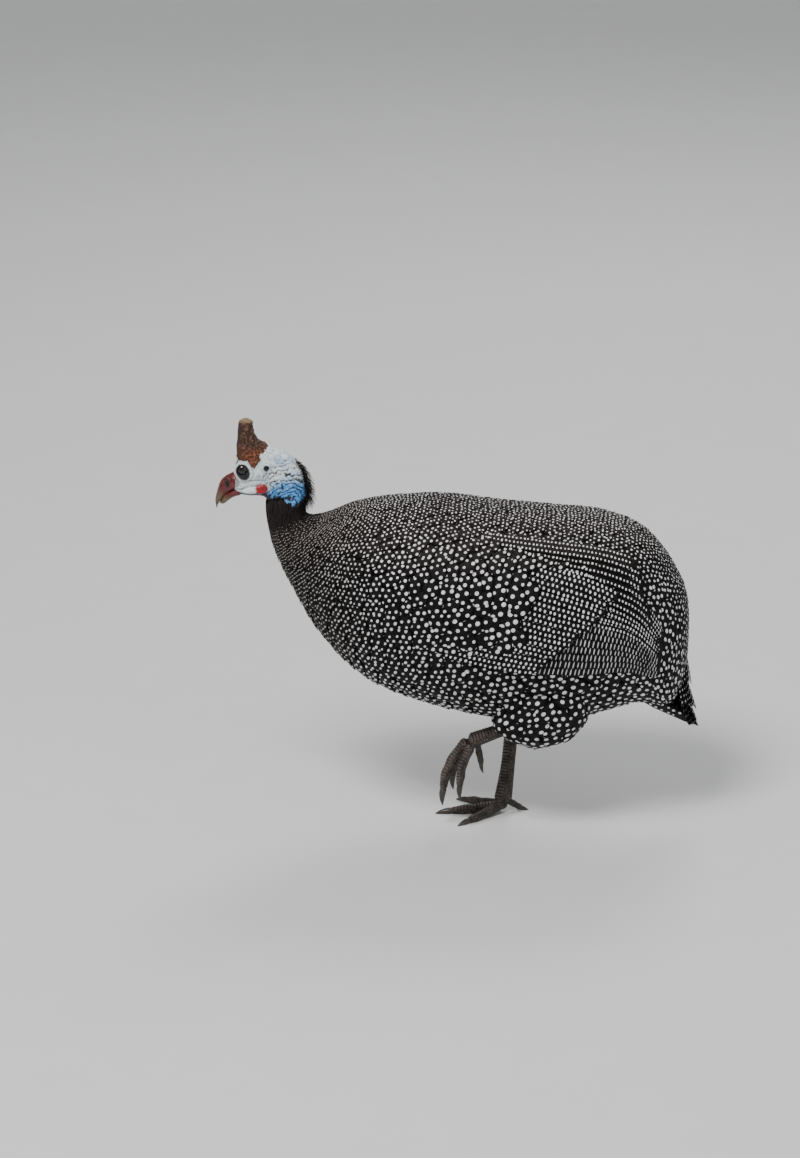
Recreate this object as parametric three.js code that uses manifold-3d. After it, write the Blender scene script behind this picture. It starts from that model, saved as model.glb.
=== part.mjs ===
// A helmeted guinea fowl at life size, walking on its right foot with the left foot lifted.
// Millimetres, +Z up. The bird faces -X and its left side is -Y.
import * as THREE from "three";
import { mergeVertices } from "three/addons/utils/BufferGeometryUtils.js";
import Module from "manifold-3d";

const wasm = await Module();
wasm.setup();

// Gap between pieces that touch, and the thickness of the flight feathers
const gap = 0.35;
const vaneThickness = 0.7;
const vaneClearance = 0.35;

// Stations of a loft: [topX, topZ, bottomX, bottomZ, halfWidth], from its front end to its rear end.
// The trunk runs from the top of the neck, down the neck and through the body to the root of the tail.
const trunkStations = [
  [-165, 345, -165, 345, 0],
  [-151, 340, -181, 330, 12.5],
  [-148, 323, -181, 311, 14],
  [-143, 309, -180, 289, 17],
  [-123, 310, -173, 265, 26],
  [-95, 321, -159, 236, 40],
  [-58, 326, -136, 195, 60],
  [-11, 327, -93, 149, 76],
  [42, 322, -31, 122, 85],
  [94, 315, 35, 107, 87],
  [142, 309, 97, 104, 84],
  [182, 289, 139, 113, 72],
  [212, 239, 168, 121, 53],
  [217, 191, 187, 118, 39],
  [214, 155, 199, 116, 22],
  [206, 125, 206, 125, 0],
];
const neckCut = { x: -148, z: 287.5, tilt: 48 };
const tailCut = { x: 200, z: 150, tilt: 210 };

// The head runs from the root of the bill over the crown and down the bare skin of the nape
const headStations = [
  [-216, 341, -216, 341, 0],
  [-211, 357, -212, 332, 8.5],
  [-206, 365.5, -205, 329, 11.5],
  [-194, 373.5, -194, 328.5, 12.5],
  [-182, 377.5, -186, 327.5, 13],
  [-170.5, 374, -182, 324.5, 13.5],
  [-157, 365, -179.5, 320.5, 14.5],
  [-149, 353, -176, 317.5, 15.5],
  [-145.5, 337, -172.5, 314.5, 15.5],
  [-146, 324, -167, 312, 13.5],
  [-158, 313.5, -158, 313.5, 0],
];
const casqueStations = [
  [-197, 360, -197, 360, 0],
  [-209.5, 364.5, -180, 369, 9],
  [-210.5, 374, -182.5, 378, 8.3],
  [-210, 384, -190.5, 385, 6],
  [-209, 394, -194, 394, 5.2],
  [-207.5, 402, -195, 402, 4.6],
  [-201.5, 404.8, -201.5, 404.8, 0],
];
// A horny lappet that hangs from the casque behind each eye
const lappetStations = [
  [-197, 368, -197, 368, 0],
  [-200, 365.5, -187, 368, 2.6],
  [-197, 361, -190, 362.5, 2.6],
  [-193, 356, -193, 356, 0],
];
const lappetSide = 10.8;
const upperBillStations = [
  [-203, 344, -203, 344, 0],
  [-209.5, 353, -205.5, 335.5, 8],
  [-218, 349.5, -214, 333.5, 7.2],
  [-225, 343.5, -221, 329.5, 5.6],
  [-229, 333.5, -225.5, 324, 3.8],
  [-231, 323.5, -228.7, 318.5, 2],
  [-230, 315, -230, 315, 0],
];
const lowerBillStations = [
  [-203, 333, -203, 333, 0],
  [-206.5, 334.5, -207.5, 329, 6.5],
  [-214, 332, -213.5, 326.5, 5.6],
  [-221, 328, -218.7, 322.5, 4.2],
  [-225.5, 322.8, -223.7, 318.5, 2.7],
  [-228, 317.5, -228, 317.5, 0],
];
const wattleStations = [
  [-206, 337.5, -206, 337.5, 0],
  [-201, 339.5, -201, 334.5, 1.4],
  [-194, 341, -194, 334, 1.8],
  [-187, 343, -188, 334, 2.2],
  [-182, 341.5, -184, 335, 1.7],
  [-181, 337.5, -181, 337.5, 0],
];

const eye = { x: -204.8, y: 7.3, z: 356.6, radius: 6.2 };
const eyelid = { radius: 5.4, thickness: 1.2, y: 10.8 };
const ear = { x: -182, y: 13.2, z: 359, radius: 3.1, rim: 1 };
const nostril = { x: -219.5, y: 6.6, z: 342.5 };
const wattleSide = 13.4;

// Leg joints, shank radii and toes. The left foot hangs in the air and the right one stands.
const thighStations = {
  left: [
    [80, 172, 80, 172, 0],
    [42, 152, 122, 152, 34],
    [33, 128, 126, 126, 32],
    [31, 112, 117, 109, 26],
    [42, 98, 104, 96, 17],
    [72, 86, 72, 86, 0],
  ],
  right: [
    [60, 172, 60, 172, 0],
    [26, 152, 100, 152, 34],
    [24, 128, 96, 128, 30],
    [30, 108, 82, 108, 22],
    [38, 92, 66, 92, 11],
    [51, 82, 51, 82, 0],
  ],
};
const thighSide = { left: -44, right: 36 };
const shanks = {
  left: { hock: [74, -36, 116], middle: [42, -34, 103], foot: [8, -32, 89] },
  right: { hock: [53, 28, 92], middle: [48.5, 16, 46], foot: [43, 6, 8] },
};
const shankRadius = { hock: 6.8, middle: 6.4, foot: 7.8 };
const toes = {
  left: {
    middle: [[6, -32, 88], [-6, -33, 71], [-12.5, -34, 56], [-15.5, -34, 38]],
    inner: [[8, -28, 86], [0, -23, 72], [-5, -20, 57], [-6, -19, 46]],
    outer: [[10, -37, 84], [4, -40, 71], [1.5, -42, 57], [0.5, -42, 45]],
    hind: [[17, -31, 86], [19.5, -29, 76], [21, -28, 68], [21.5, -28, 63]],
  },
  right: {
    middle: [[43, 6, 8.5], [26, 5, 5], [6, 3, 3.7], [-9, 2, 2.6]],
    inner: [[41, 3, 8.5], [28, -7, 5], [16, -17, 3.4], [8, -23, 2.4]],
    outer: [[41, 9, 8.5], [28, 17, 5], [16, 26, 3.4], [8, 31, 2.4]],
    hind: [[46, 7, 12], [54, 9, 7.5], [60, 10, 3.6], [63, 10.5, 2.2]],
  },
};
const toeRadius = { middle: 5.2, inner: 4.5, outer: 4.5, hind: 3.2 };
const clawLength = { middle: 14, inner: 12, outer: 12, hind: 8 };

const colours = {
  plumage: [0x1c1b1d, 0.75],
  neck: [0x231f20, 0.85],
  skin: [0xcfe3e6, 0.55],
  casque: [0x8a4a2c, 0.7],
  bill: [0x7c3b33, 0.45],
  wattle: [0xb01020, 0.5],
  eye: [0x0b0908, 0.08],
  leg: [0x3b3230, 0.6],
  claw: [0x1d1917, 0.4],
};

const materials = Object.fromEntries(
  Object.entries(colours).map(([name, [color, roughness]]) => [
    name,
    new THREE.MeshStandardMaterial({ name, color, roughness, metalness: 0 }),
  ]),
);

const degrees = THREE.MathUtils.degToRad;
const mix = THREE.MathUtils.lerp;

// A closed geometry as a solid that can be joined and cut, with its faces pointing out.
function solid(geometry) {
  const bare = new THREE.BufferGeometry();
  bare.setAttribute("position", geometry.getAttribute("position").clone());
  bare.setIndex(geometry.index.clone());
  const merged = mergeVertices(bare, 1e-3);
  const triVerts = new Uint32Array(merged.index.array);
  const vertProperties = merged.attributes.position.array;
  const made = new wasm.Manifold(new wasm.Mesh({ numProp: 3, vertProperties, triVerts }));
  if (made.volume() > 0) return made;
  return new wasm.Manifold(
    new wasm.Mesh({ numProp: 3, vertProperties, triVerts: triVerts.reverse() }),
  );
}

function geometryOf(piece) {
  const mesh = piece.getMesh();
  const positions = new Float32Array(mesh.numVert * 3);
  for (let i = 0; i < mesh.numVert; i++) {
    const start = i * mesh.numProp;
    positions.set(mesh.vertProperties.subarray(start, start + 3), i * 3);
  }
  return new THREE.BufferGeometry()
    .setAttribute("position", new THREE.BufferAttribute(positions, 3))
    .setIndex(new THREE.BufferAttribute(new Uint32Array(mesh.triVerts), 1));
}

// The same solid with its surface moved out, so that a neighbour cut by it keeps a gap.
function swell(piece, distance = gap) {
  const geometry = geometryOf(piece);
  geometry.computeVertexNormals();
  const { position, normal } = geometry.attributes;
  for (let i = 0; i < position.count; i++) {
    position.setXYZ(
      i,
      position.getX(i) + normal.getX(i) * distance,
      position.getY(i) + normal.getY(i) * distance,
      position.getZ(i) + normal.getZ(i) * distance,
    );
  }
  return solid(geometry);
}

const join = (pieces) => pieces.reduce((whole, piece) => whole.add(piece));
const largest = (piece) =>
  piece.decompose().reduce((best, part) => (part.volume() > best.volume() ? part : best));
const clearOf = (piece, ...others) =>
  others.reduce((rest, other) => rest.subtract(swell(other)), piece);

// Moves every vertex of a geometry to where place(vertex) says.
function shaped(geometry, place) {
  const { position } = geometry.attributes;
  const vertex = new THREE.Vector3();
  for (let i = 0; i < position.count; i++) {
    const moved = place(vertex.fromBufferAttribute(position, i));
    position.setXYZ(i, moved.x, moved.y, moved.z);
  }
  return geometry;
}

const spline = (pairs) => new THREE.SplineCurve(pairs.map(([a, b]) => new THREE.Vector2(a, b)));

// Rails through a list of stations: at(t) gives the top, the bottom and the half width there.
function rails(stations) {
  const top = spline(stations.map((s) => [s[0], s[1]]));
  const bottom = spline(stations.map((s) => [s[2], s[3]]));
  const width = spline(stations.map((s) => [s[4], 0]));
  return (t) => ({
    top: top.getPoint(t),
    bottom: bottom.getPoint(t),
    halfWidth: Math.max(0, width.getPoint(t).x),
  });
}

// A point of a section: angle 0 is its top, 90 degrees its left side and 180 its bottom.
function sectionPoint({ top, bottom, halfWidth }, angle, fullness, side) {
  const power = 2 / fullness;
  const rise = Math.sign(Math.cos(angle)) * Math.abs(Math.cos(angle)) ** power;
  const reach = Math.sign(Math.sin(angle)) * Math.abs(Math.sin(angle)) ** power;
  return new THREE.Vector3(
    (top.x + bottom.x) / 2 + ((top.x - bottom.x) / 2) * rise,
    side - halfWidth * reach,
    (top.y + bottom.y) / 2 + ((top.y - bottom.y) / 2) * rise,
  );
}

// A body lofted through its stations: a sphere whose poles are the two ends.
function loft(stations, { around = 24, along = 16, fullness = 2.1, side = 0 } = {}) {
  const at = rails(stations);
  return solid(
    shaped(new THREE.SphereGeometry(1, around, along), (v) =>
      sectionPoint(at(Math.acos(v.y) / Math.PI), Math.atan2(v.z, v.x), fullness, side),
    ),
  );
}

// A round limb along points, with its radius at each, its ends rounded off.
function limb(points, radii, { around, along, blunt = 1.8, pads = 0, padDepth = 0 }) {
  const path = new THREE.CatmullRomCurve3(points.map((p) => new THREE.Vector3(...p)));
  const radius = spline(radii.map((r) => [r, 0]));
  const sideways = new THREE.Vector3(0, 1, 0);
  return solid(
    shaped(new THREE.SphereGeometry(1, around, along), (v) => {
      const t = Math.acos(v.y) / Math.PI;
      const tangent = path.getTangent(t);
      const across = sideways.clone().addScaledVector(tangent, -tangent.y).normalize();
      const up = across.clone().cross(tangent);
      const round = Math.min(1, Math.hypot(v.x, v.z) * blunt);
      const swelling = 1 + padDepth * Math.cos(2 * Math.PI * pads * t);
      const r = round * swelling * Math.max(0, radius.getPoint(t).x);
      const angle = Math.atan2(v.z, v.x);
      return path
        .getPoint(t)
        .addScaledVector(up, r * Math.cos(angle))
        .addScaledVector(across, r * Math.sin(angle));
    }),
  );
}

// A thin closed sheet. place(u, v, face) gives a point, u from -1 to 1 across, v from 0 to 1 along,
// on face 1, the upper one, or -1, the lower one. Both faces are split into triangles alike.
function sheet(across, along, place) {
  const grid = new THREE.PlaneGeometry(2, 1, across, along);
  const spots = grid.attributes.position;
  const count = spots.count;
  const positions = [];
  for (const face of [1, -1]) {
    for (let i = 0; i < count; i++) {
      positions.push(...place(spots.getX(i), 0.5 - spots.getY(i), face).toArray());
    }
  }
  const upper = Array.from(grid.index.array);
  const lower = upper.map((i) => i + count).reverse();
  const columns = across + 1;
  const rim = [];
  for (let i = 0; i < across; i++) rim.push(i);
  for (let j = 0; j < along; j++) rim.push(j * columns + across);
  for (let i = across; i > 0; i--) rim.push(along * columns + i);
  for (let j = along; j > 0; j--) rim.push(j * columns);
  const walls = rim.flatMap((a, k) => {
    const b = rim[(k + 1) % rim.length];
    return [a, b, b + count, a, b + count, a + count];
  });
  const geometry = new THREE.BufferGeometry();
  geometry.setAttribute("position", new THREE.Float32BufferAttribute(positions, 3));
  geometry.setIndex([...upper, ...lower, ...walls]);
  return solid(geometry);
}

// A feather's half width along its length, as a share of the widest: narrow root, round tip.
function vaneOutline(v) {
  const root = 0.5 + 0.5 * THREE.MathUtils.smoothstep(v, 0, 0.4);
  const tip = Math.sqrt(1 - 0.94 * Math.max(0, (v - 0.7) / 0.3) ** 2);
  return root * tip;
}

const trunkAt = rails(trunkStations);
const trunkFullness = 2.1;

// A place on the skin of the trunk: t along it, an angle in degrees round it from the back, and a lift.
function onTrunk(t, angle, lift = 0) {
  const point = (a, b) => sectionPoint(trunkAt(a), degrees(b), trunkFullness, 0);
  const along = point(t + 0.004, angle).sub(point(t - 0.004, angle));
  const round = point(t, angle + 1).sub(point(t, angle - 1));
  return point(t, angle).addScaledVector(round.cross(along).normalize(), lift);
}

// Millimetres round the trunk in one degree.
const mmPerDegree = (t, angle) => onTrunk(t, angle + 0.5).distanceTo(onTrunk(t, angle - 0.5));

// How much higher than its neighbour below a shingled feather lies at the same spot
const shingleStep = vaneThickness + vaneClearance;

// A tier of feathers on the flank, shingled so that each overlies the one below it. A feather
// runs from its root to its tip, [t, angle] each, as given for the lowest and the highest one.
function wingTier({ count, root, tip, halfWidth, lift, rows }) {
  const middleOf = (k, v) => {
    const share = k / (count - 1);
    const from = [mix(root[0], root[2], share), mix(root[1], root[3], share)];
    const to = [mix(tip[0], tip[2], share), mix(tip[1], tip[3], share)];
    return [mix(from[0], to[0], v), mix(from[1], to[1], v)];
  };
  return Array.from({ length: count }, (_, k) =>
    sheet(2, rows, (u, v, face) => {
      const [t, middle] = middleOf(k, v);
      const perDegree = mmPerDegree(t, middle);
      const spacing = Math.abs(middleOf(0, v)[1] - middleOf(1, v)[1]) * perDegree;
      const across = u * mix(halfWidth[0], halfWidth[1], v) * vaneOutline(v);
      const height = mix(lift[0], lift[1], v) + (shingleStep * across) / spacing;
      return onTrunk(t, middle + across / perDegree, height + (face * vaneThickness) / 2);
    }),
  );
}

// Tiers of the folded wing, the lowest and outermost feather of each first
const wingTiers = [
  {
    count: 7,
    rows: 4,
    root: [0.56, 101, 0.57, 56],
    tip: [0.8, 97, 0.79, 70],
    halfWidth: [9, 7.5],
    lift: [2.7, 3.7],
  },
  {
    count: 6,
    rows: 3,
    root: [0.5, 98, 0.51, 50],
    tip: [0.645, 98, 0.69, 60],
    halfWidth: [11, 11],
    lift: [5.2, 6.4],
  },
  {
    count: 3,
    rows: 4,
    root: [0.49, 50, 0.49, 41],
    tip: [0.735, 61, 0.7, 42],
    halfWidth: [12, 11],
    lift: [3.6, 5.6],
  },
];
const wingPlate = { from: 0.37, to: 0.63, low: 102, high: 36, thickness: 8.5, below: 1.1 };

// The arm and the small coverts of the wing as one low swelling over the flank.
function wingArm() {
  const { from, to, low, high, thickness, below } = wingPlate;
  return sheet(7, 8, (u, v, face) => {
    const breadth = Math.sqrt(Math.max(0.06, 1 - (2 * v - 1) ** 2));
    const t = mix(from, to, v);
    const angle = (low + high) / 2 + (u * breadth * (low - high)) / 2;
    const crown = Math.sqrt(Math.max(0, 1 - Math.abs(u) ** 3) * breadth);
    return onTrunk(t, angle, face < 0 ? below : below + 1 + (thickness - 1) * crown);
  });
}

const wing = () => largest(join([wingArm(), ...wingTiers.flatMap(wingTier)]));

// A half space as a large block, its face through a point, with its inside on the given side.
function halfSpace({ x, z, tilt }, offset) {
  const size = 1200;
  const block = new THREE.BoxGeometry(size, size, size);
  block.translate(-size / 2 - offset, 0, 0);
  block.rotateY(degrees(tilt));
  block.translate(x, 0, z);
  return solid(block);
}

const trunk = loft(trunkStations, { around: 32, along: 34, fullness: trunkFullness });
const headCore = loft(headStations, { around: 20, along: 18 });

function sphereAt({ x, y, z }, radius, around = 16, along = 12) {
  const ball = new THREE.SphereGeometry(radius, around, along);
  ball.translate(x, y, z);
  return solid(ball);
}

function ringAt({ x, y, z }, radius, thickness) {
  const ring = new THREE.TorusGeometry(radius, thickness, 5, 12);
  ring.rotateX(Math.PI / 2);
  ring.translate(x, y, z);
  return solid(ring);
}

const sides = { left: -1, right: 1 };
const mirrored = (place, sign) => ({ ...place, y: place.y * sign });

const lappets = Object.values(sides).map((sign) =>
  loft(lappetStations, { around: 8, along: 6, side: sign * lappetSide }),
);
const casque = join([
  loft(casqueStations, { around: 16, along: 12, fullness: 2.2 }),
  ...lappets,
]);
const upperBill = loft(upperBillStations, { around: 14, along: 12 });
const lowerBill = loft(lowerBillStations, { around: 12, along: 8 });

// Bristly locks that stand out from the back of the nape
const napeLocks = { count: 9, from: 0.57, to: 0.9, length: 11.5, halfWidth: 2.2, thickness: 1.2 };

function napeLock(k) {
  const share = k / (napeLocks.count - 1);
  const t = mix(napeLocks.from, napeLocks.to, share);
  const at = rails(headStations);
  const root = at(t).top;
  const behind = at(t + 0.01).top;
  const along = new THREE.Vector3(behind.x - root.x, 0, behind.y - root.y).normalize();
  const out = new THREE.Vector3(-along.z, 0, along.x).multiplyScalar(-1);
  if (out.x < 0 && out.z < 0) out.negate();
  const lean = mix(0.9, 0.5, share);
  const sideways = (k % 2 ? 1 : -1) * 2.4;
  return sheet(1, 3, (u, v, face) => {
    const reach = v * napeLocks.length - 2.5;
    const width = napeLocks.halfWidth * (1 - 0.85 * v);
    return new THREE.Vector3(root.x, sideways * (0.4 + v), root.y)
      .addScaledVector(out, reach)
      .addScaledVector(along, lean * reach * v)
      .add(new THREE.Vector3(0, (face * napeLocks.thickness * (1 - 0.6 * v)) / 2, 0))
      .addScaledVector(along, u * width);
  });
}

function head() {
  const locks = Array.from({ length: napeLocks.count }, (_, k) => napeLock(k));
  const lids = Object.values(sides).map((sign) =>
    ringAt(mirrored({ ...eye, y: eyelid.y }, sign), eyelid.radius, eyelid.thickness),
  );
  const earRims = Object.values(sides).map((sign) =>
    ringAt(mirrored(ear, sign), ear.radius, ear.rim),
  );
  const sockets = Object.values(sides).map((sign) =>
    sphereAt(mirrored(eye, sign), eye.radius + gap),
  );
  const earCups = Object.values(sides).map((sign) =>
    sphereAt(mirrored({ ...ear, y: ear.y + 0.6 }, sign), ear.radius - 0.6, 12, 8),
  );
  const whole = join([headCore, ...lids, ...earRims, ...locks]);
  return largest(whole.subtract(join([...sockets, ...earCups])));
}

function bill(loftedBill, other) {
  const nostrils = Object.values(sides).map((sign) =>
    sphereAt(mirrored(nostril, sign), 2.2, 8, 6),
  );
  return largest(clearOf(loftedBill, headCore, ...other).subtract(join(nostrils)));
}

// The drooping tail: a fan of feathers between a tier of coverts above and one below, all rooted
// in the stump. Lengths and sideways places are for the middle feather and the outermost one.
const tailTiers = [
  {
    count: 9,
    root: [199, 160],
    droop: 63,
    length: [73, 50],
    rootSide: 13,
    tipSide: 27,
    halfWidth: 8.5,
    arch: 11,
    bend: 4,
    rows: 4,
  },
  {
    count: 7,
    root: [203, 172],
    droop: 66,
    length: [52, 38],
    rootSide: 15,
    tipSide: 22,
    halfWidth: 8.5,
    arch: 11,
    bend: 4,
    rows: 3,
  },
  {
    count: 5,
    root: [183, 132],
    droop: 50,
    length: [34, 26],
    rootSide: 12,
    tipSide: 16,
    halfWidth: 8,
    arch: 5,
    bend: 2,
    rows: 3,
  },
];

function tailTier({ count, root, droop, length, rootSide, tipSide, halfWidth, arch, bend, rows }) {
  const pitch = degrees(droop);
  const back = new THREE.Vector3(Math.cos(pitch), 0, -Math.sin(pitch));
  const above = new THREE.Vector3(Math.sin(pitch), 0, Math.cos(pitch));
  const half = (count - 1) / 2;
  return Array.from({ length: count }, (_, k) => {
    const share = (k - half) / half;
    const side = Math.sign(share);
    const reach = mix(length[0], length[1], Math.abs(share));
    return sheet(2, rows, (u, v, face) => {
      const spread = mix(rootSide, tipSide, v);
      const across = u * halfWidth * vaneOutline(v);
      const y = share * spread + across;
      const shingle = side ? (side * across * half) / spread : 1.4;
      const height =
        shingle * shingleStep - arch * (y / tipSide) ** 2 - bend * v * v + (face * vaneThickness) / 2;
      return new THREE.Vector3(root[0], y, root[1])
        .addScaledVector(back, reach * v)
        .addScaledVector(above, height);
    });
  });
}

const tailSolid = () =>
  largest(join([trunk, ...tailTiers.flatMap(tailTier)]).intersect(halfSpace(tailCut, gap)));

function shank(name) {
  const { hock, middle, foot } = shanks[name];
  const radii = [shankRadius.hock, shankRadius.middle, shankRadius.foot];
  return limb([hock, middle, foot], radii, { around: 12, along: 13, blunt: 3.6 });
}

function toe(side, name) {
  const r = toeRadius[name];
  return limb(toes[side][name], [r * 0.9, r, r * 0.85, r * 0.6], {
    around: 8,
    along: 11,
    pads: 3,
    padDepth: 0.08,
  });
}

// A claw carries on from the end of its toe and curves down or back.
function claw(side, name) {
  const points = toes[side][name];
  const end = new THREE.Vector3(...points.at(-1));
  const before = new THREE.Vector3(...points.at(-2));
  const ahead = end.clone().sub(before).normalize();
  const length = clawLength[name];
  const down = side === "right" ? new THREE.Vector3(0, 0, -1) : new THREE.Vector3(0.9, 0, -0.3);
  const bend = side === "right" ? 0.12 : 0.2;
  const step = (share) =>
    end
      .clone()
      .addScaledVector(ahead, length * share)
      .addScaledVector(down, length * bend * share * share)
      .toArray();
  const r = toeRadius[name] * 0.62;
  return limb([step(-0.35), step(0.1), step(0.55), step(1)], [r, r, r * 0.6, 0.4], {
    around: 6,
    along: 6,
  });
}

const floor = halfSpace({ x: 0, z: 0, tilt: -90 }, 0);
const onFloor = (piece) => largest(piece.subtract(floor));

const model = new THREE.Group();
function add(name, piece, material) {
  const mesh = new THREE.Mesh(geometryOf(piece), materials[material]);
  mesh.name = name;
  model.add(mesh);
}

const torso = largest(trunk.subtract(halfSpace(tailCut, 0)).subtract(halfSpace(neckCut, 0)));
const headSolid = head();
add("torso", torso, "plumage");
add("neck", largest(clearOf(trunk.intersect(halfSpace(neckCut, gap)), headCore)), "neck");
add("casque", largest(clearOf(casque, headCore)), "casque");
add("head", headSolid, "skin");
add("bill_lower", bill(lowerBill, []), "bill");
add("bill_upper", bill(upperBill, [lowerBill]), "bill");
add("tail", tailSolid(), "plumage");

for (const [side, sign] of Object.entries(sides)) {
  add(`eye_${side}`, sphereAt(mirrored(eye, sign), eye.radius), "eye");
  const wattle = loft(wattleStations, { around: 12, along: 10, side: sign * wattleSide });
  add(`wattle_${side}`, largest(clearOf(wattle, headCore)), "wattle");
  const wingSolid = geometryOf(wing());
  if (sign > 0) wingSolid.scale(1, -1, 1);
  add(`wing_${side}`, solid(wingSolid), "plumage");
  const thigh = loft(thighStations[side], { around: 20, along: 14, side: thighSide[side] });
  const wholeShank = shank(side);
  const thighSolid = largest(clearOf(thigh, torso));
  add(`thigh_${side}`, thighSolid, "plumage");
  add(`shank_${side}`, largest(clearOf(wholeShank, thighSolid, torso)), "leg");
  const made = [wholeShank];
  for (const name of ["middle", "inner", "outer", "hind"]) {
    const toeSolid = onFloor(clearOf(toe(side, name), ...made));
    add(`toe_${side}_${name}`, toeSolid, "leg");
    made.push(toeSolid);
    const clawSolid = onFloor(clearOf(claw(side, name), toeSolid));
    add(`claw_${side}_${name}`, clawSolid, "claw");
  }
}

// The origin is the middle of the bird's outline seen from above, at the floor.
const box = new THREE.Box3().setFromObject(model);
const centre = box.getCenter(new THREE.Vector3());
model.position.set(-centre.x, -centre.y, -box.min.z);

export default model;
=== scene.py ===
"""A helmeted guinea fowl at life size, walking with its left foot lifted.

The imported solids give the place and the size. This script dresses them: one skin, a coat of
spotted feathers, barred wings, a horny casque and bill, wattles, scaled legs and a studio.
Sizes are in millimetres up to the point where a mesh is made. Those of the panel are in metres.
"""

import copy
import math

import bmesh
import bpy
import numpy as np
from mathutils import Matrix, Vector, kdtree, noise


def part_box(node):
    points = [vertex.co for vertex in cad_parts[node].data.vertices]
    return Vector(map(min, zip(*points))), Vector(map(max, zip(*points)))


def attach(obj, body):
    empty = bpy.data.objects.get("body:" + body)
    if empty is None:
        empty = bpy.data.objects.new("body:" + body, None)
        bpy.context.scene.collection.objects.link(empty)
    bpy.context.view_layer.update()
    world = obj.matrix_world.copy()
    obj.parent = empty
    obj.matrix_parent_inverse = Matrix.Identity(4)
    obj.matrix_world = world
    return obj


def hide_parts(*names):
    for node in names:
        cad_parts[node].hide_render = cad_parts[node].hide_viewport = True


bl_info = {
    "name": "Guinea Fowl",
    "version": (1, 0, 0),
    "blender": (4, 5, 0),
    "location": "3D View > Sidebar > Guinea Fowl",
    "description": "Builds a walking helmeted guinea fowl round its packed solids",
    "category": "Object",
}

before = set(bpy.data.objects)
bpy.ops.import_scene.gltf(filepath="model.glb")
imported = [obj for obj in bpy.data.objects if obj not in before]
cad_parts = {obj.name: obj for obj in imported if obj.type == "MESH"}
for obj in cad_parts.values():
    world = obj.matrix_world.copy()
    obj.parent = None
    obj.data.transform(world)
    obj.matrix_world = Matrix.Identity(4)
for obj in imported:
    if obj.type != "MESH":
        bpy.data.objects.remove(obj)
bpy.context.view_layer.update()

MM = 0.001
SIDES = {"left": -1, "right": 1}

# Stations of the lofts, as in the solids: [topX, topZ, bottomX, bottomZ, halfWidth]
TRUNK = [
    [-165, 345, -165, 345, 0],
    [-151, 340, -181, 330, 12.5],
    [-148, 323, -181, 311, 14],
    [-143, 309, -180, 289, 17],
    [-123, 310, -173, 265, 26],
    [-95, 321, -159, 236, 40],
    [-58, 326, -136, 195, 60],
    [-11, 327, -93, 149, 76],
    [42, 320, -31, 122, 85],
    [94, 315, 35, 107, 87],
    [142, 309, 97, 104, 84],
    [182, 289, 139, 113, 72],
    [212, 239, 168, 121, 53],
    [217, 191, 187, 118, 39],
    [214, 155, 199, 116, 22],
    [206, 125, 206, 125, 0],
]
HEAD = [
    [-216, 341, -216, 341, 0],
    [-211, 357, -212, 332, 8.5],
    [-206, 365.5, -205, 329, 11.5],
    [-194, 373.5, -194, 328.5, 12.5],
    [-182, 377.5, -186, 327.5, 13],
    [-170.5, 374, -182, 324.5, 13.5],
    [-157, 365, -179.5, 320.5, 14.5],
    [-149, 353, -176, 317.5, 15.5],
    [-145.5, 337, -172.5, 314.5, 15.5],
    [-146, 324, -167, 312, 13.5],
    [-158, 313.5, -158, 313.5, 0],
]
CASQUE = [
    [-197, 360, -197, 360, 0],
    [-209.5, 364.5, -177.5, 368, 9],
    [-210.5, 374, -180.5, 378, 8.3],
    [-210, 384, -190.5, 385, 6],
    [-209, 394, -194, 394, 5.2],
    [-207.5, 402, -195, 402, 4.6],
    [-201.5, 404.8, -201.5, 404.8, 0],
]
LAPPET = [
    [-197, 368, -197, 368, 0],
    [-200, 365.5, -187, 368, 2.6],
    [-197, 361, -190, 362.5, 2.6],
    [-193, 356, -193, 356, 0],
]
UPPER_BILL = [
    [-203, 344, -203, 344, 0],
    [-209.5, 351.5, -205.5, 335.5, 8],
    [-218, 348.8, -214, 333.5, 7.4],
    [-225, 343.5, -221, 329.5, 5.6],
    [-229, 333.5, -225.5, 324, 3.8],
    [-231, 323.5, -228.7, 318.5, 2],
    [-230, 315, -230, 315, 0],
]
LOWER_BILL = [
    [-203, 333, -203, 333, 0],
    [-206.5, 336.5, -207.5, 329, 7],
    [-214, 334.5, -213.5, 327, 6.3],
    [-221, 330.5, -218.7, 323.2, 4.9],
    [-225, 325.5, -223.2, 320, 3.2],
    [-226.8, 320, -226.8, 320, 0],
]
WATTLE = [
    [-206, 337.5, -206, 337.5, 0],
    [-201, 339.5, -201, 334.5, 1.4],
    [-194, 341, -194, 334, 1.8],
    [-187, 343, -188, 334, 2.2],
    [-182, 341.5, -184, 335, 1.7],
    [-181, 337.5, -181, 337.5, 0],
]
THIGHS = {
    "left": [
        [80, 172, 80, 172, 0],
        [42, 152, 122, 152, 34],
        [33, 128, 126, 126, 32],
        [31, 112, 117, 109, 26],
        [42, 98, 104, 96, 17],
        [72, 86, 72, 86, 0],
    ],
    "right": [
        [60, 172, 60, 172, 0],
        [26, 152, 100, 152, 34],
        [24, 128, 96, 128, 30],
        [30, 108, 82, 108, 22],
        [38, 92, 66, 92, 11],
        [51, 82, 51, 82, 0],
    ],
}
THIGH_SIDE = {"left": -44, "right": 36}
SHANKS = {
    "left": [[74, -36, 116], [42, -34, 103], [8, -32, 89]],
    "right": [[53, 28, 92], [48.5, 16, 46], [43, 6, 8]],
}
SHANK_RADII = {"left": [6.8, 6.4, 7.6], "right": [6.8, 6.8, 8.8]}
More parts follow.
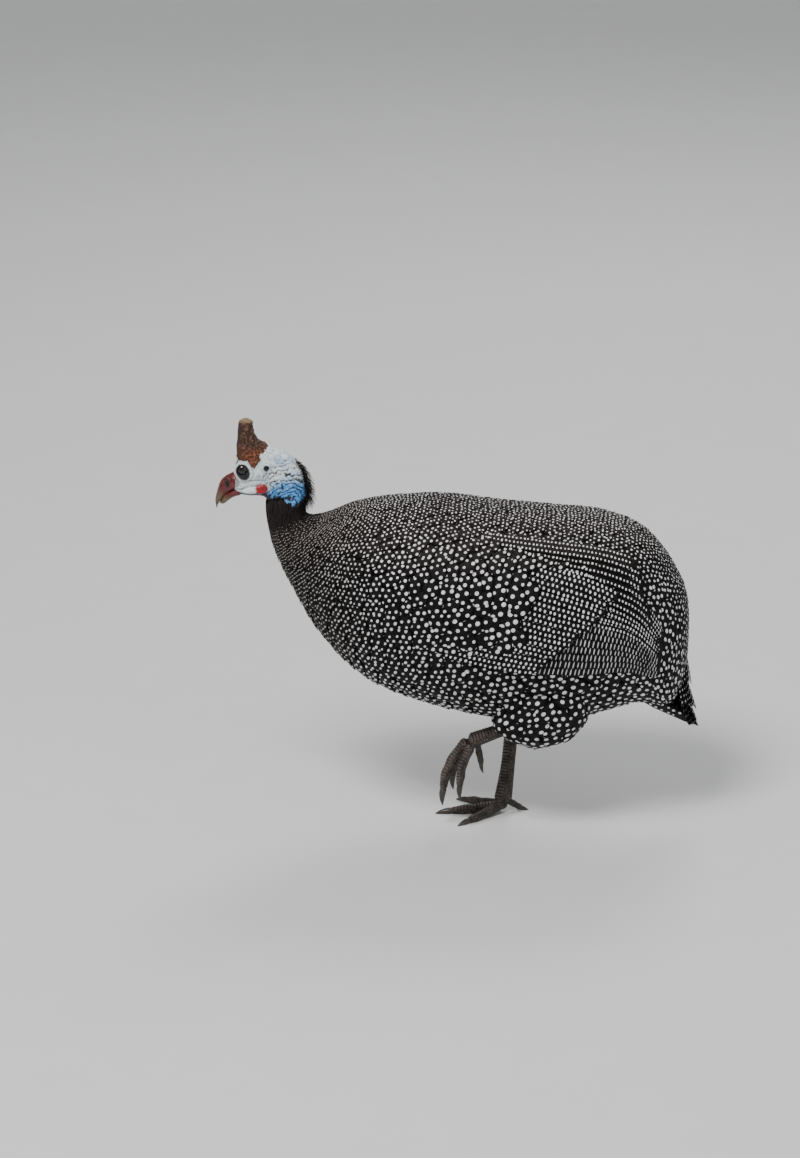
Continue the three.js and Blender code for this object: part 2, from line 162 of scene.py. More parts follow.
TOES = {
    "left": {
        "middle": [[6, -32, 88], [-6, -33, 71], [-12.5, -34, 56], [-15.5, -34, 38]],
        "inner": [[8, -28, 86], [0, -23, 72], [-5, -20, 57], [-6, -19, 46]],
        "outer": [[10, -37, 84], [4, -40, 71], [1.5, -42, 57], [0.5, -42, 45]],
        "hind": [[17, -31, 86], [19.5, -29, 76], [21, -28, 68], [21.5, -28, 63]],
    },
    "right": {
        "middle": [[43, 6, 8.5], [26, 5, 5], [6, 3, 3.7], [-9, 2, 2.6]],
        "inner": [[41, 3, 8.5], [28, -7, 5], [16, -17, 3.4], [8, -23, 2.4]],
        "outer": [[41, 9, 8.5], [28, 17, 5], [16, 26, 3.4], [8, 31, 2.4]],
        "hind": [[46, 7, 12], [54, 9, 7.5], [60, 10, 3.6], [63, 10.5, 2.2]],
    },
}
TOE_RADIUS = {"middle": 5.2, "inner": 4.5, "outer": 4.5, "hind": 3.2}
CLAW_LENGTH = {"middle": 14, "inner": 12, "outer": 12, "hind": 8}
SCUTE_PITCH = 3.1
SKIN_SHARE = 0.52
EYE = np.array([-204.8, 7.3, 356.6])
EYE_RADIUS = 6.2
EAR = np.array([-182, 13.2, 359])
NOSTRIL = np.array([-219.5, 6.6, 342.5])
LOBE = np.array([-160.4, 323.8])
WATTLE_SIDE = 13.4
LAPPET_SIDE = 10.8
FULLNESS = 2.1

# The solids were moved sideways so that their middle is the origin: the eye's box tells how far
ORIGIN = (np.array(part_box("eye_left")).mean(axis=0) / MM) - EYE * [1, -1, 1]


def span_at(spans, t):
    """The number of the span that each t from 0 to 1 falls in, and how far along it that is."""
    place = np.clip(np.asarray(t, float), 0, 1) * spans
    i = np.minimum(place.astype(int), spans - 1)
    return i, (place - i)[..., None]


def hermite(here, after, v0, v1, w):
    """The curve between two points that has the directions v0 and v1 at them, at w from 0 to 1."""
    return (2 * (here - after) + v0 + v1) * w**3 + (3 * (after - here) - 2 * v0 - v1) * w**2 + v0 * w + here


def catmull(points, t):
    """A uniform Catmull-Rom spline through points, at each t from 0 to 1."""
    points = np.asarray(points, float)
    last = len(points) - 1
    i, w = span_at(last, t)
    before, here = points[np.maximum(i - 1, 0)], points[i]
    after, beyond = points[i + 1], points[np.minimum(i + 2, last)]
    return hermite(here, after, (after - before) / 2, (beyond - here) / 2, w)


def ease(low, high, x):
    """0 below low and 1 above high, smooth between."""
    x = np.clip((np.asarray(x, float) - low) / (high - low), 0, 1)
    return x * x * (3 - 2 * x)


def unit(v):
    return v / np.maximum(np.linalg.norm(v, axis=-1, keepdims=True), 1e-9)


class Loft:
    """A closed body through stations: t runs from its front end to its rear end, and angle round
    it in degrees, 0 at the top, 90 on its left side and 180 at the bottom."""

    def __init__(self, stations, side=0, fullness=FULLNESS, swelling=None, outward=1):
        self.stations, self.side = np.asarray(stations, float), side
        self.power = 2 / fullness
        self.swelling, self.outward = swelling, outward

    def bare(self, t, angle):
        s = catmull(self.stations, t)
        turn = np.radians(angle)
        rise = np.sign(np.cos(turn)) * np.abs(np.cos(turn)) ** self.power
        reach = np.sign(np.sin(turn)) * np.abs(np.sin(turn)) ** self.power
        x = (s[..., 0] + s[..., 2]) / 2 + (s[..., 0] - s[..., 2]) / 2 * rise
        z = (s[..., 1] + s[..., 3]) / 2 + (s[..., 1] - s[..., 3]) / 2 * rise
        y = self.side - np.maximum(s[..., 4], 0) * reach
        return np.stack([x, y, z], -1)

    def normal(self, t, angle):
        along = self.bare(t + 0.004, angle) - self.bare(t - 0.004, angle)
        round_ = self.bare(t, angle + 1) - self.bare(t, angle - 1)
        return unit(np.cross(round_, along)) * self.outward

    def point(self, t, angle, lift=0.0):
        t, angle = np.broadcast_arrays(np.asarray(t, float), np.asarray(angle, float))
        lift = np.broadcast_to(np.asarray(lift, float), t.shape)
        if self.swelling:
            lift = lift + self.swelling(t, angle)
        return self.bare(t, angle) + self.normal(t, angle) * lift[..., None]

    def mm_per_degree(self, t, angle):
        return np.linalg.norm(self.bare(t, angle + 1) - self.bare(t, angle - 1), axis=-1) / 2

    def mm_per_t(self, t, angle):
        return np.linalg.norm(self.bare(t + 0.01, angle) - self.bare(t - 0.01, angle), axis=-1) / 0.02


def coat_swelling(t, angle):
    """How far the folded wing, the full rump and the throat's ruff lift the coat off the trunk."""
    across = 1 - np.minimum(1, np.abs((np.abs(angle) - 72) / 38)) ** 2.6
    wing = 7.0 * across * ease(0.3, 0.48, t) * (1 - ease(0.62, 0.72, t))
    rump = 3.0 * ease(0.72, 0.82, t) * (1 - ease(100, 140, np.abs(angle)))
    ruff = 2.6 * (1 - ease(0.13, 0.2, t))
    return wing + rump + ruff


TRUNK_COAT = Loft(TRUNK, swelling=coat_swelling)
TRUNK_BARE = Loft(TRUNK)
HEAD_LOFT = Loft(HEAD)
THIGH_LOFTS = {side: Loft(THIGHS[side], THIGH_SIDE[side], outward=-1) for side in SIDES}


# Shader maths as expressions

class Wire:
    """A socket that takes part in arithmetic: each operation adds its Math node."""

    def __init__(self, paint, socket):
        self.paint, self.socket = paint, socket

    def _math(self, operation, *values):
        return self.paint.node("ShaderNodeMath", {"operation": operation}, *values)

    def __add__(self, other):
        return self._math("ADD", self, other)

    def __sub__(self, other):
        return self._math("SUBTRACT", self, other)

    def __rsub__(self, other):
        return self._math("SUBTRACT", other, self)

    def __mul__(self, other):
        return self._math("MULTIPLY", self, other)

    __radd__ = __add__
    __rmul__ = __mul__

    def __truediv__(self, other):
        return self._math("DIVIDE", self, other)

    def __pow__(self, other):
        return self._math("POWER", self, other)

    def __abs__(self):
        return self._math("ABSOLUTE", self)

    def ramp(self, low, high):
        """0 below low, 1 above high, smooth between."""
        return self.paint.node(
            "ShaderNodeMapRange", {"interpolation_type": "SMOOTHSTEP"}, self, low, high, 0.0, 1.0
        )


class Paint:
    """A new material whose nodes are added one call at a time."""

    def __init__(self, name, roughness=0.5, **fixed):
        self.material = bpy.data.materials.new(name)
        self.material.use_nodes = True
        self.tree = self.material.node_tree
        self.shader = self.tree.nodes["Principled BSDF"]
        self.set(Roughness=roughness, **fixed)

    def set(self, **values):
        for name, value in values.items():
            self._plug(self.shader.inputs[name.replace("_", " ")], value)

    def _plug(self, socket, value):
        if isinstance(value, Wire):
            self.tree.links.new(value.socket, socket)
        elif value is not None:
            if socket.type == "RGBA" and len(value) == 3:
                value = (*value, 1)
            socket.default_value = value

    def node(self, kind, settings, *values, out=0, **named):
        made = self.tree.nodes.new(kind)
        for name, value in settings.items():
            setattr(made, name, value)
        for socket, value in zip(made.inputs, values):
            self._plug(socket, value)
        for name, value in named.items():
            self._plug(made.inputs[name.replace("_", " ")], value)
        return Wire(self, made.outputs[out])

    def place(self):
        return self.node("ShaderNodeTexCoord", {}, out="Object")

    def axis(self, name):
        return self.node("ShaderNodeSeparateXYZ", {}, self.place(), out=name)

    def beyond(self, axis, start_mm, soft_mm, waver=None):
        """0 up to a place along an axis of the solids and 1 past it. waver moves the border."""
        at = self.axis(axis) if waver is None else self.axis(axis) + waver
        start = ORIGIN["XYZ".index(axis)] + start_mm
        return (at - start * MM).ramp(0.0, soft_mm * MM)

    def attribute(self, name):
        return self.node("ShaderNodeAttribute", {"attribute_name": name}, out="Fac")

    def texture(self, kind, size_mm, out, settings=None, stretch=(1, 1, 1), **values):
        at = self.node("ShaderNodeMapping", {}, Vector=self.place(), Scale=stretch)
        return self.node(kind, settings or {}, Vector=at, Scale=1 / (size_mm * MM), out=out, **values)

    def noise(self, size_mm, detail=2.0, stretch=(1, 1, 1)):
        return self.texture("ShaderNodeTexNoise", size_mm, "Fac", stretch=stretch, Detail=detail)

    def cells(self, size_mm, feature="F1"):
        return self.texture("ShaderNodeTexVoronoi", size_mm, "Distance", {"feature": feature})

    def mix(self, amount, first, second):
        made = self.tree.nodes.new("ShaderNodeMix")
        made.data_type = "RGBA"
        colours = [s for s in made.inputs if s.type == "RGBA"]
        self._plug(made.inputs[0], amount)
        self._plug(colours[0], first)
        self._plug(colours[1], second)
        return Wire(self, next(s for s in made.outputs if s.type == "RGBA"))

    def bump(self, height, depth_mm, strength=1.0):
        depth = depth_mm * MM
        self.set(Normal=self.node("ShaderNodeBump", {}, Strength=strength, Distance=depth, Height=height))
        return self.material


def length_property(name, description, default):
    return bpy.props.FloatProperty(
        name=name, description=description, default=default, subtype="DISTANCE", unit="LENGTH", precision=4
    )


def share_property(name, description, default):
    return bpy.props.FloatProperty(name=name, description=description, default=default, subtype="FACTOR")


def colour_property(name, description, default):
    return bpy.props.FloatVectorProperty(
        name=name, description=description, default=default, subtype="COLOR"
    )


class FeatherSizes(bpy.types.PropertyGroup):
    """Sizes of the coat, in metres or as a share of the distance between two spots."""

    coat_depth: length_property("Coat depth", "From the skin to the tips of the feathers", 0.004)
    spot_size: share_property("Spot size", "Size of all spots against the bird's own", 1.0)
    vane_width: share_property("Vane width", "Half width of a feather in spot distances", 1.55)
    vane_length: share_property("Vane length", "Length of a feather in spot distances", 4.6)
    vane_thickness: length_property("Vane thickness", "Thickness of a feather at its middle", 0.0003)
    bristles: bpy.props.IntProperty(
        name="Bristles", description="Bristles on the back of the nape", default=900
    )


class BirdColours(bpy.types.PropertyGroup):
    """Base colours of the bird."""

    plumage: colour_property("Plumage", "Ground of the feathers", (0.0045, 0.0042, 0.0048))
    plumage_bars: colour_property("Fine bars", "Grey lines between the spots", (0.034, 0.031, 0.031))
    spots: colour_property("Spots", "Spots and bars of the feathers", (0.9, 0.89, 0.88))
    neck: colour_property("Neck", "Short dark feathers of the neck", (0.011, 0.0075, 0.0065))
    face: colour_property("Face", "Bare white skin", (0.78, 0.84, 0.83))
    nape: colour_property("Nape", "Bare blue skin", (0.045, 0.24, 0.62))
    wattle: colour_property("Wattle", "Red tip of the wattle", (0.2, 0.002, 0.006))
    casque: colour_property("Casque", "Horn of the casque", (0.29, 0.09, 0.042))
    casque_front: colour_property("Casque column", "Darker horn of the column", (0.04, 0.016, 0.01))
    cere: colour_property("Cere", "Red skin at the root of the bill", (0.085, 0.006, 0.007))
    bill: colour_property("Bill tip", "Horn of the bill's tip", (0.085, 0.055, 0.028))
    leg: colour_property("Legs", "Scales of the legs", (0.042, 0.031, 0.026))
    claw: colour_property("Claws", "Horn of the claws", (0.02, 0.016, 0.014))


def scaled(colour, share):
    """A colour times a number, or times one number for each channel."""
    return tuple(np.multiply(colour, share))


def clouded(name, shine, cloud_mm, edges, dark, light):
    """A white of the feathers' marks, in soft darker and lighter clouds."""
    paint = Paint(name, roughness=0.66, Specular_IOR_Level=shine)
    paint.set(Base_Color=paint.mix(paint.noise(cloud_mm, 2).ramp(*edges), dark, light))
    return paint.bump(paint.noise(0.6, 2), 0.2, 0.5)


class Finishes:
    """The materials, each made when it is first asked for."""

    made = {}

    @classmethod
    def get(cls, name):
        if name not in cls.made:
            cls.made[name] = getattr(cls, "_" + name)(bpy.context.scene.bird_colours)
        return cls.made[name]

    @staticmethod
    def _plumage(colours):
        paint = Paint("feather black", roughness=0.62, Specular_IOR_Level=0.12)
        lines = paint.noise(0.9, 3, stretch=(1, 1, 2.2)).ramp(0.52, 0.66)
        patches = paint.noise(14, 2).ramp(0.35, 0.7)
        colour = paint.mix(lines * (0.25 + 0.5 * patches), colours.plumage, colours.plumage_bars)
        ground = scaled(colours.plumage, (3, 2.2, 1.8))
        brown = paint.mix(lines, ground, scaled(colours.plumage_bars, (2.25, 1.65, 1.35)))
        upper = (paint.axis("Z") - 262 * MM).ramp(0.0, 50 * MM)
        paint.set(Base_Color=paint.mix(upper * 0.8, colour, brown))
        return paint.bump(paint.noise(0.7, 2, stretch=(0.5, 1, 1.6)), 0.25, 0.6)

    @staticmethod
    def _hide(colours):
        paint = Paint("trunk skin", roughness=0.62, Specular_IOR_Level=0.12)
        spots = 1 - paint.cells(7.5).ramp(0.24, 0.3)
        behind_neck = paint.beyond("X", -120, 30)
        paint.set(Base_Color=paint.mix(spots * behind_neck, colours.plumage, colours.spots))
        return paint.bump(paint.noise(0.7, 2), 0.25, 0.6)

    @staticmethod
    def _neck(colours):
        paint = Paint("neck feather", roughness=0.7, Specular_IOR_Level=0.2)
        lines = paint.noise(1.1, 2, stretch=(0.6, 1, 1.8)).ramp(0.55, 0.68)
        paint.set(Base_Color=paint.mix(lines * 0.6, colours.neck, scaled(colours.neck, 3)))
        return paint.bump(paint.noise(0.8, 2), 0.3, 0.6)

    @staticmethod
    def _spots(colours):
        return clouded("spot white", 0.3, 3.5, (0.3, 0.75), scaled(colours.spots, 0.7), colours.spots)

    @staticmethod
    def _bars(colours):
        dark, light = scaled(colours.spots, 0.5), scaled(colours.spots, 0.75)
        return clouded("bar white", 0.25, 9, (0.35, 0.7), dark, light)

    @staticmethod
    def _specks(colours):
        paint = Paint("speck grey", roughness=0.7, Specular_IOR_Level=0.25)
        clear = paint.beyond("X", -150, 110, waver=(paint.noise(16, 2) - 0.5) * (30 * MM))
        grey = scaled(colours.spots, (0.4, 0.355, 0.33))
        paint.set(Base_Color=paint.mix(clear, grey, colours.spots))
        return paint.bump(paint.noise(0.6, 2), 0.2, 0.5)

    @staticmethod
    def _skin(colours):
        paint = Paint("bare skin", roughness=0.5, Specular_IOR_Level=0.45, Subsurface_Weight=0.08)
        blue, dark, red = (paint.attribute(name) for name in ("blue", "dark", "red"))
        # Painted shade: soft noise patches darken the white face to greenish grey, standing in for the
        # shadows between its lumps
        cloud = paint.noise(2.8, 3).ramp(0.4, 0.66)
        face = paint.mix(cloud * 0.5, colours.face, (0.36, 0.5, 0.52))
        nape = paint.mix(paint.noise(2.2, 2).ramp(0.45, 0.7), colours.nape, (0.24, 0.5, 0.8))
        skin = paint.mix(blue, face, nape)
        specks = 1 - paint.cells(2.4).ramp(0.16, 0.27)
        skin = paint.mix(specks * paint.attribute("specks") * 0.9, skin, (0.03, 0.035, 0.04))
        skin = paint.mix(red, skin, colours.cere)
        # dark: black lids and neck, and painted shade in the ear openings, creases, mouth and folds
        skin = paint.mix(dark, skin, (0.007, 0.008, 0.011))
        paint.set(Base_Color=skin)
        grain = paint.cells(1.6, feature="SMOOTH_F1") + paint.noise(2.6, 3)
        return paint.bump(grain, 0.8, 0.8)

    @staticmethod
    def _casque(colours):
        paint = Paint("casque horn", roughness=0.62, Specular_IOR_Level=0.4)
        column = paint.beyond("Z", 374, 10, waver=paint.noise(5, 2) * (6 * MM))
        front = 1 - paint.beyond("X", -208, 4)
        tip = paint.beyond("Z", 399.5, 3)
        grain = paint.noise(1.9, 4, stretch=(1, 1, 0.7)).ramp(0.42, 0.62)
        base = paint.mix(grain, scaled(colours.casque, 0.35), colours.casque)
        worn = paint.mix(grain, colours.casque_front, (0.15, 0.072, 0.043))
        horn = paint.mix(column, base, worn)
        horn = paint.mix(front * 0.5, horn, (0.05, 0.028, 0.02))
        horn = paint.mix(tip * 0.8, horn, (0.4, 0.29, 0.15))
        pits = paint.cells(2.1).ramp(0.1, 0.5)
        horn = paint.mix((1 - pits) * 0.55, horn, (0.028, 0.012, 0.008))
        paint.set(Base_Color=horn)
        return paint.bump(pits * 0.7 + grain, 0.9, 1.0)

    @staticmethod
    def _bill(colours):
        paint = Paint("bill horn", roughness=0.36, Specular_IOR_Level=0.5, Coat_Weight=0.15)
        z, x = paint.axis("Z"), paint.axis("X")
        along = (ORIGIN[2] + 349) * MM - z + ((ORIGIN[0] - 205) * MM - x) * 0.6
        cloud = paint.noise(2.6, 3).ramp(0.3, 0.75)
        cere = paint.mix(cloud * 0.7, colours.cere, (0.17, 0.026, 0.02))
        horn = paint.mix(cloud, colours.bill, (0.16, 0.1, 0.055))
        colour = paint.mix(along.ramp(24 * MM, 35 * MM), cere, horn)
        # Painted shade: where the dark attribute is set, in the nostril opening, the horn turns near black
        colour = paint.mix(paint.attribute("dark"), colour, (0.004, 0.002, 0.002))
        paint.set(Base_Color=colour)
        return paint.bump(paint.noise(1.7, 3), 0.6, 0.8)

    @staticmethod
    def _wattle(colours):
        paint = Paint("wattle skin", roughness=0.45, Specular_IOR_Level=0.5, Subsurface_Weight=0.1)
        red = paint.beyond("X", -190.5, 3, waver=paint.noise(4, 3) * (7 * MM))
        blotch = paint.noise(2.5, 2).ramp(0.35, 0.7)
        deep = paint.mix(blotch, colours.wattle, scaled(colours.wattle, 2.2))
        paint.set(Base_Color=paint.mix(red, colours.face, deep))
        return paint.bump(paint.cells(1.0, feature="SMOOTH_F1"), 0.4, 0.7)

    @staticmethod
    def _eye(colours):
        paint = Paint("eye", roughness=0.1, Specular_IOR_Level=0.45, Coat_Weight=0.2)
        x = paint.axis("X") - (ORIGIN[0] + EYE[0]) * MM
        z = paint.axis("Z") - (ORIGIN[2] + EYE[2]) * MM
        away = (x * x + z * z) ** 0.5
        iris = paint.mix(paint.noise(0.8, 2), (0.012, 0.006, 0.004), (0.035, 0.016, 0.01))
        colour = paint.mix(away.ramp(2.5 * MM, 2.8 * MM), (0.004, 0.004, 0.005), iris)
        paint.set(Base_Color=paint.mix(away.ramp(4.3 * MM, 4.7 * MM), colour, (0.012, 0.012, 0.014)))
        return paint.material

    @staticmethod
    def _leg(colours):
        paint = Paint("leg scale", roughness=0.55, Specular_IOR_Level=0.45)
        along, front = paint.attribute("along"), paint.attribute("front")
        ring = abs(paint.node("ShaderNodeMath", {"operation": "FRACT"}, along / SCUTE_PITCH) - 0.5)
        scutes = ring.ramp(0.03, 0.2)
        net = paint.cells(2.2, feature="DISTANCE_TO_EDGE").ramp(0.03, 0.2)
        scales = front * scutes + (1 - front) * net
        cloud = paint.noise(7, 3).ramp(0.3, 0.7)
        plate = paint.mix(cloud, colours.leg, scaled(colours.leg, 2.6))
        paint.set(Base_Color=paint.mix(scales, scaled(colours.leg, 0.25), plate))
        return paint.bump(scales + paint.noise(0.7, 2) * 0.25, 0.7, 0.9)

    @staticmethod
    def _claw(colours):
        paint = Paint("claw horn", roughness=0.35)
        paint.set(Base_Color=paint.mix(paint.noise(3, 3), colours.claw, (0.06, 0.045, 0.035)))
        return paint.bump(paint.noise(0.9, 2, stretch=(1, 1, 0.4)), 0.2, 0.5)

    @staticmethod
    def _floor(colours):
        paint = Paint("studio floor", roughness=0.8)
        paint.set(Base_Color=paint.mix(paint.noise(60, 3), (0.74, 0.74, 0.73), (0.78, 0.78, 0.77)))
        return paint.material


# Meshes

def shade(obj, finish):
    """Gives an object one material and smooth faces."""
    obj.data.materials.clear()
    obj.data.materials.append(Finishes.get(finish))
    obj.data.polygons.foreach_set("use_smooth", [True] * len(obj.data.polygons))
    return obj


def register_piece(obj, replaced=()):
    """Hangs a piece on the empty of the body that it rides on, and hides the solids that it stands for."""
    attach(obj, "root")
    if replaced:
        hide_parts(*replaced)
    return obj


def finish_piece(obj, finish, replaced=()):
    return register_piece(shade(obj, finish), replaced)


def object_of(name, mesh):
    obj = bpy.data.objects.new(name, mesh)
    bpy.context.scene.collection.objects.link(obj)
    return obj


def moved_sphere(bm, around, along, place):
    """Adds a sphere to bm and moves each vertex to place(t, angle), in millimetres."""
    made = bmesh.ops.create_uvsphere(bm, u_segments=around, v_segments=along, radius=1)["verts"]
    unit_points = np.array([v.co[:] for v in made])
    t = np.arccos(np.clip(unit_points[:, 2], -1, 1)) / math.pi
    angle = np.degrees(np.arctan2(unit_points[:, 1], unit_points[:, 0]))
    for vertex, co in zip(made, (place(t, angle) + ORIGIN) * MM):
        vertex.co = co


def wobble(points, frequency):
    """Smooth noise at each point, from about -1 to 1."""
    return np.array([noise.fractal(Vector(p * frequency), 1.0, 2.0, 3) for p in points])


def closed_mesh(name, shapes, voxel_mm=None, softening=3):
    """One object from shapes, (around, along, place) each, fused by a voxel remesh if asked."""
    bm = bmesh.new()
    for around, along, place in shapes:
        moved_sphere(bm, around, along, place)
    bmesh.ops.recalc_face_normals(bm, faces=bm.faces)
    mesh = bpy.data.meshes.new(name)
    bm.to_mesh(mesh)
    bm.free()
    obj = object_of(name, mesh)
    if voxel_mm:
        remesh = obj.modifiers.new("fuse", "REMESH")
        remesh.mode = "VOXEL"
        remesh.voxel_size = voxel_mm * MM
        smooth = obj.modifiers.new("soften", "SMOOTH")
        smooth.iterations = softening
        apply_modifiers(obj)
    return obj


def apply_modifiers(obj):
    graph = bpy.context.evaluated_depsgraph_get()
    baked = bpy.data.meshes.new_from_object(obj.evaluated_get(graph))
    obj.modifiers.clear()
    obj.data = baked


def surface_of(obj):
    """The places of an object's vertices, in the solids' own millimetres, and their normals."""
    found = np.empty((2, len(obj.data.vertices) * 3))
    for row, name in zip(found, ("co", "normal")):
        obj.data.vertices.foreach_get(name, row)
    points, normals = found.reshape(2, -1, 3)
    return points / MM - ORIGIN, normals


def set_vertices(obj, points):
    obj.data.vertices.foreach_set("co", ((points + ORIGIN) * MM).ravel())
    obj.data.update()


def set_attribute(obj, name, values):
    layer = obj.data.attributes.new(name, "FLOAT", "POINT")
    layer.data.foreach_set("value", np.asarray(values, float))


def mesh_from_arrays(name, points, faces, uv):
    """An object from arrays of points in millimetres, of faces with as many corners each, and of
    each point's place on the unwrap."""
    mesh = bpy.data.meshes.new(name)
    mesh.vertices.add(len(points))
    mesh.vertices.foreach_set("co", ((points + ORIGIN) * MM).ravel())
    corners = faces.shape[1]
    mesh.loops.add(faces.size)
    mesh.loops.foreach_set("vertex_index", faces.ravel())
    mesh.polygons.add(len(faces))
    mesh.polygons.foreach_set("loop_start", np.arange(len(faces)) * corners)
    mesh.update(calc_edges=True)
    layer = mesh.uv_layers.new(name="OFBake")
    layer.data.foreach_set("uv", uv[faces.ravel()].ravel())
    return object_of(name, mesh)


def quads(grid):
    """The faces between the points of a grid, which holds their numbers."""
    return np.stack([grid[:-1, :-1], grid[:-1, 1:], grid[1:, 1:], grid[1:, :-1]], -1).reshape(-1, 4)


def copies(faces, count, points_each):
    """The faces of one piece, once for each of its copies."""
    return (faces[None] + (np.arange(count) * points_each)[:, None, None]).reshape(-1, faces.shape[1])


def unwrapped(angle, t):
    """Where a root lies on the unwrap of the shape that it grows from."""
    return np.stack([angle / 360 + 0.5, t], -1) * 0.98 + 0.01


# Feathers

COLUMNS = 4
ROW_PLACES = np.array([0, 0.34, 0.62, 0.82, 0.94, 1.0])
COLUMN_PLACES = np.linspace(-1, 1, COLUMNS + 1)
PATCH = 0.003
MARK_CORNERS = 8
MARK_CLEARANCE = 0.06
MARK_RISE = 0.3
MARKS_END = 0.985


def rounded_outline(v):
    """Half width of a contour feather along it: a narrow root and a round tip."""
    return (0.4 + 0.6 * ease(0, 0.45, v)) * np.sqrt(1 - 0.95 * np.maximum(0, (v - 0.6) / 0.4) ** 2)


def long_outline(v):
    """Half width of a flight feather: nearly parallel sides and a round tip."""
    return (0.6 + 0.4 * ease(0, 0.3, v)) * np.sqrt(1 - 0.94 * np.maximum(0, (v - 0.86) / 0.14) ** 2)


def hackle_outline(v):
    """Half width of a neck feather: a narrow blade that runs out to a point."""
    return (0.5 + 0.5 * ease(0, 0.3, v)) * (1 - 0.88 * ease(0.35, 1.08, v))


class Vanes:
    """Feathers on a surface, as grids of points, with marks laid on them."""

    def __init__(self, surface, t, angle, half_width, lift, outline, rows=ROW_PLACES):
        # t and angle: the middle line of each vane at each row. half_width: one per vane, mm.
        # lift: height of each vane at each row and column.
        self.rows, self.surface, self.outline, self.facing = rows, surface, outline, 1
        self.t, self.angle, self.half_width = t, angle, half_width
        width = half_width[:, None] * outline(rows)
        across = width[:, :, None] * COLUMN_PLACES
        per_degree = np.maximum(surface.mm_per_degree(t, angle), 0.05)
        everywhere = np.broadcast_to(t[:, :, None], across.shape)
        turned = angle[:, :, None] + across / per_degree[:, :, None]
        self.grid = surface.point(everywhere, turned, lift)
        self.normals = surface.normal(everywhere, turned)
        steps = np.linalg.norm(np.diff(self.grid[:, :, COLUMNS // 2], axis=1), axis=-1)
        self.reach = np.concatenate([np.zeros((len(t), 1)), np.cumsum(steps, 1)], 1)

    def length(self):
        return self.reach[:, -1]

    def underside(self, thickness):
        """The same vanes from below, so that marks can be laid on their lower face."""
        below = copy.copy(self)
        below.grid, below.normals = self.grid - self.normals * thickness, -self.normals
        below.facing = -1
        return below

    def mesh(self, name, thickness):
        count, rows, columns = self.grid.shape[:3]
        top = np.arange(rows * columns).reshape(rows, columns)
        bottom = top.copy()
        inner = np.arange((rows - 2) * (columns - 2)).reshape(rows - 2, columns - 2)
        bottom[1:-1, 1:-1] = rows * columns + inner
        under = (self.grid - self.normals * thickness)[:, 1:-1, 1:-1].reshape(count, -1, 3)
        points = np.concatenate([self.grid.reshape(count, -1, 3), under], 1)
        one = np.concatenate([quads(top), quads(bottom)[:, ::-1]])
        u, v = np.meshgrid(COLUMN_PLACES / 2 + 0.5, self.rows)
        patch = np.stack([u, v], -1)
        patch = np.concatenate([patch.reshape(-1, 2), patch[1:-1, 1:-1].reshape(-1, 2)])
        uv = unwrapped(self.angle[:, 0], self.t[:, 0])[:, None] + patch * PATCH
        faces = copies(one, count, points.shape[1])
        return mesh_from_arrays(name, points.reshape(-1, 3), faces, uv.reshape(-1, 2))

    def at(self, which, across, along):
        """Points and normals on the vanes: which vane, and millimetres across and from the root."""
        reach = self.reach[which]
        row = np.clip((reach[:, None, :] <= along[:, :, None]).sum(-1) - 1, 0, len(self.rows) - 2)
        low = np.take_along_axis(reach, row, 1)
        high = np.take_along_axis(reach, row + 1, 1)
        down = np.clip((along - low) / np.maximum(high - low, 1e-6), 0, 1)
        width = self.half_width[which][:, None] * self.outline(self.rows)[None, :]
        here = np.take_along_axis(width, row, 1) * (1 - down)
        here = here + np.take_along_axis(width, row + 1, 1) * down
        u = (np.clip(across / np.maximum(here, 0.05), -0.97, 0.97) + 1) / 2 * COLUMNS
        column = np.clip(u.astype(int), 0, COLUMNS - 1)
        right = (u - column)[..., None]
        down = down[..., None]
        pick = which[:, None]
        found = []
        for table in (self.grid, self.normals):
            near = table[pick, row, column] * (1 - right) + table[pick, row, column + 1] * right
            far = table[pick, row + 1, column] * (1 - right) + table[pick, row + 1, column + 1] * right
            found.append(near * (1 - down) + far * down)
        return found[0], unit(found[1])


def marks_mesh(name, laid):
    """Spots and bars: small domes laid on vanes. laid: (vanes, which, across, along, radii) each."""
    points, uvs = [], []
    corner = np.arange(MARK_CORNERS) / MARK_CORNERS * 2 * math.pi
    ring = np.stack([[*np.cos(corner), 0], [*np.sin(corner), 0]], -1) * PATCH * 0.3
    for vanes, which, across, along, wide, long in laid:
        rim_across = across[:, None] + wide[:, None] * np.cos(corner) * vanes.facing
        rim_along = along[:, None] + long[:, None] * np.sin(corner)
        rim_along = np.minimum(rim_along, vanes.length()[which][:, None] * MARKS_END)
        rim, out = vanes.at(which, rim_across, rim_along)
        middle, middle_out = vanes.at(which, across[:, None], along[:, None])
        rise = MARK_CLEARANCE + np.minimum(MARK_RISE, 0.25 * np.minimum(wide, long))[:, None, None]
        points.append(np.concatenate([rim + out * MARK_CLEARANCE, middle + middle_out * rise], 1))
        spot = unwrapped(vanes.angle[which, 0], vanes.t[which, 0]) + np.stack([across, along], -1) * 0.0011
        uvs.append(spot[:, None] + ring)
    points, uvs = np.concatenate(points), np.concatenate(uvs)
    ids = np.arange(MARK_CORNERS)
    fan = np.stack([ids, (ids + 1) % MARK_CORNERS, np.full(MARK_CORNERS, MARK_CORNERS)], -1)
    faces = copies(fan, len(points), MARK_CORNERS + 1)
    return mesh_from_arrays(name, points.reshape(-1, 3), faces, uvs.reshape(-1, 2))


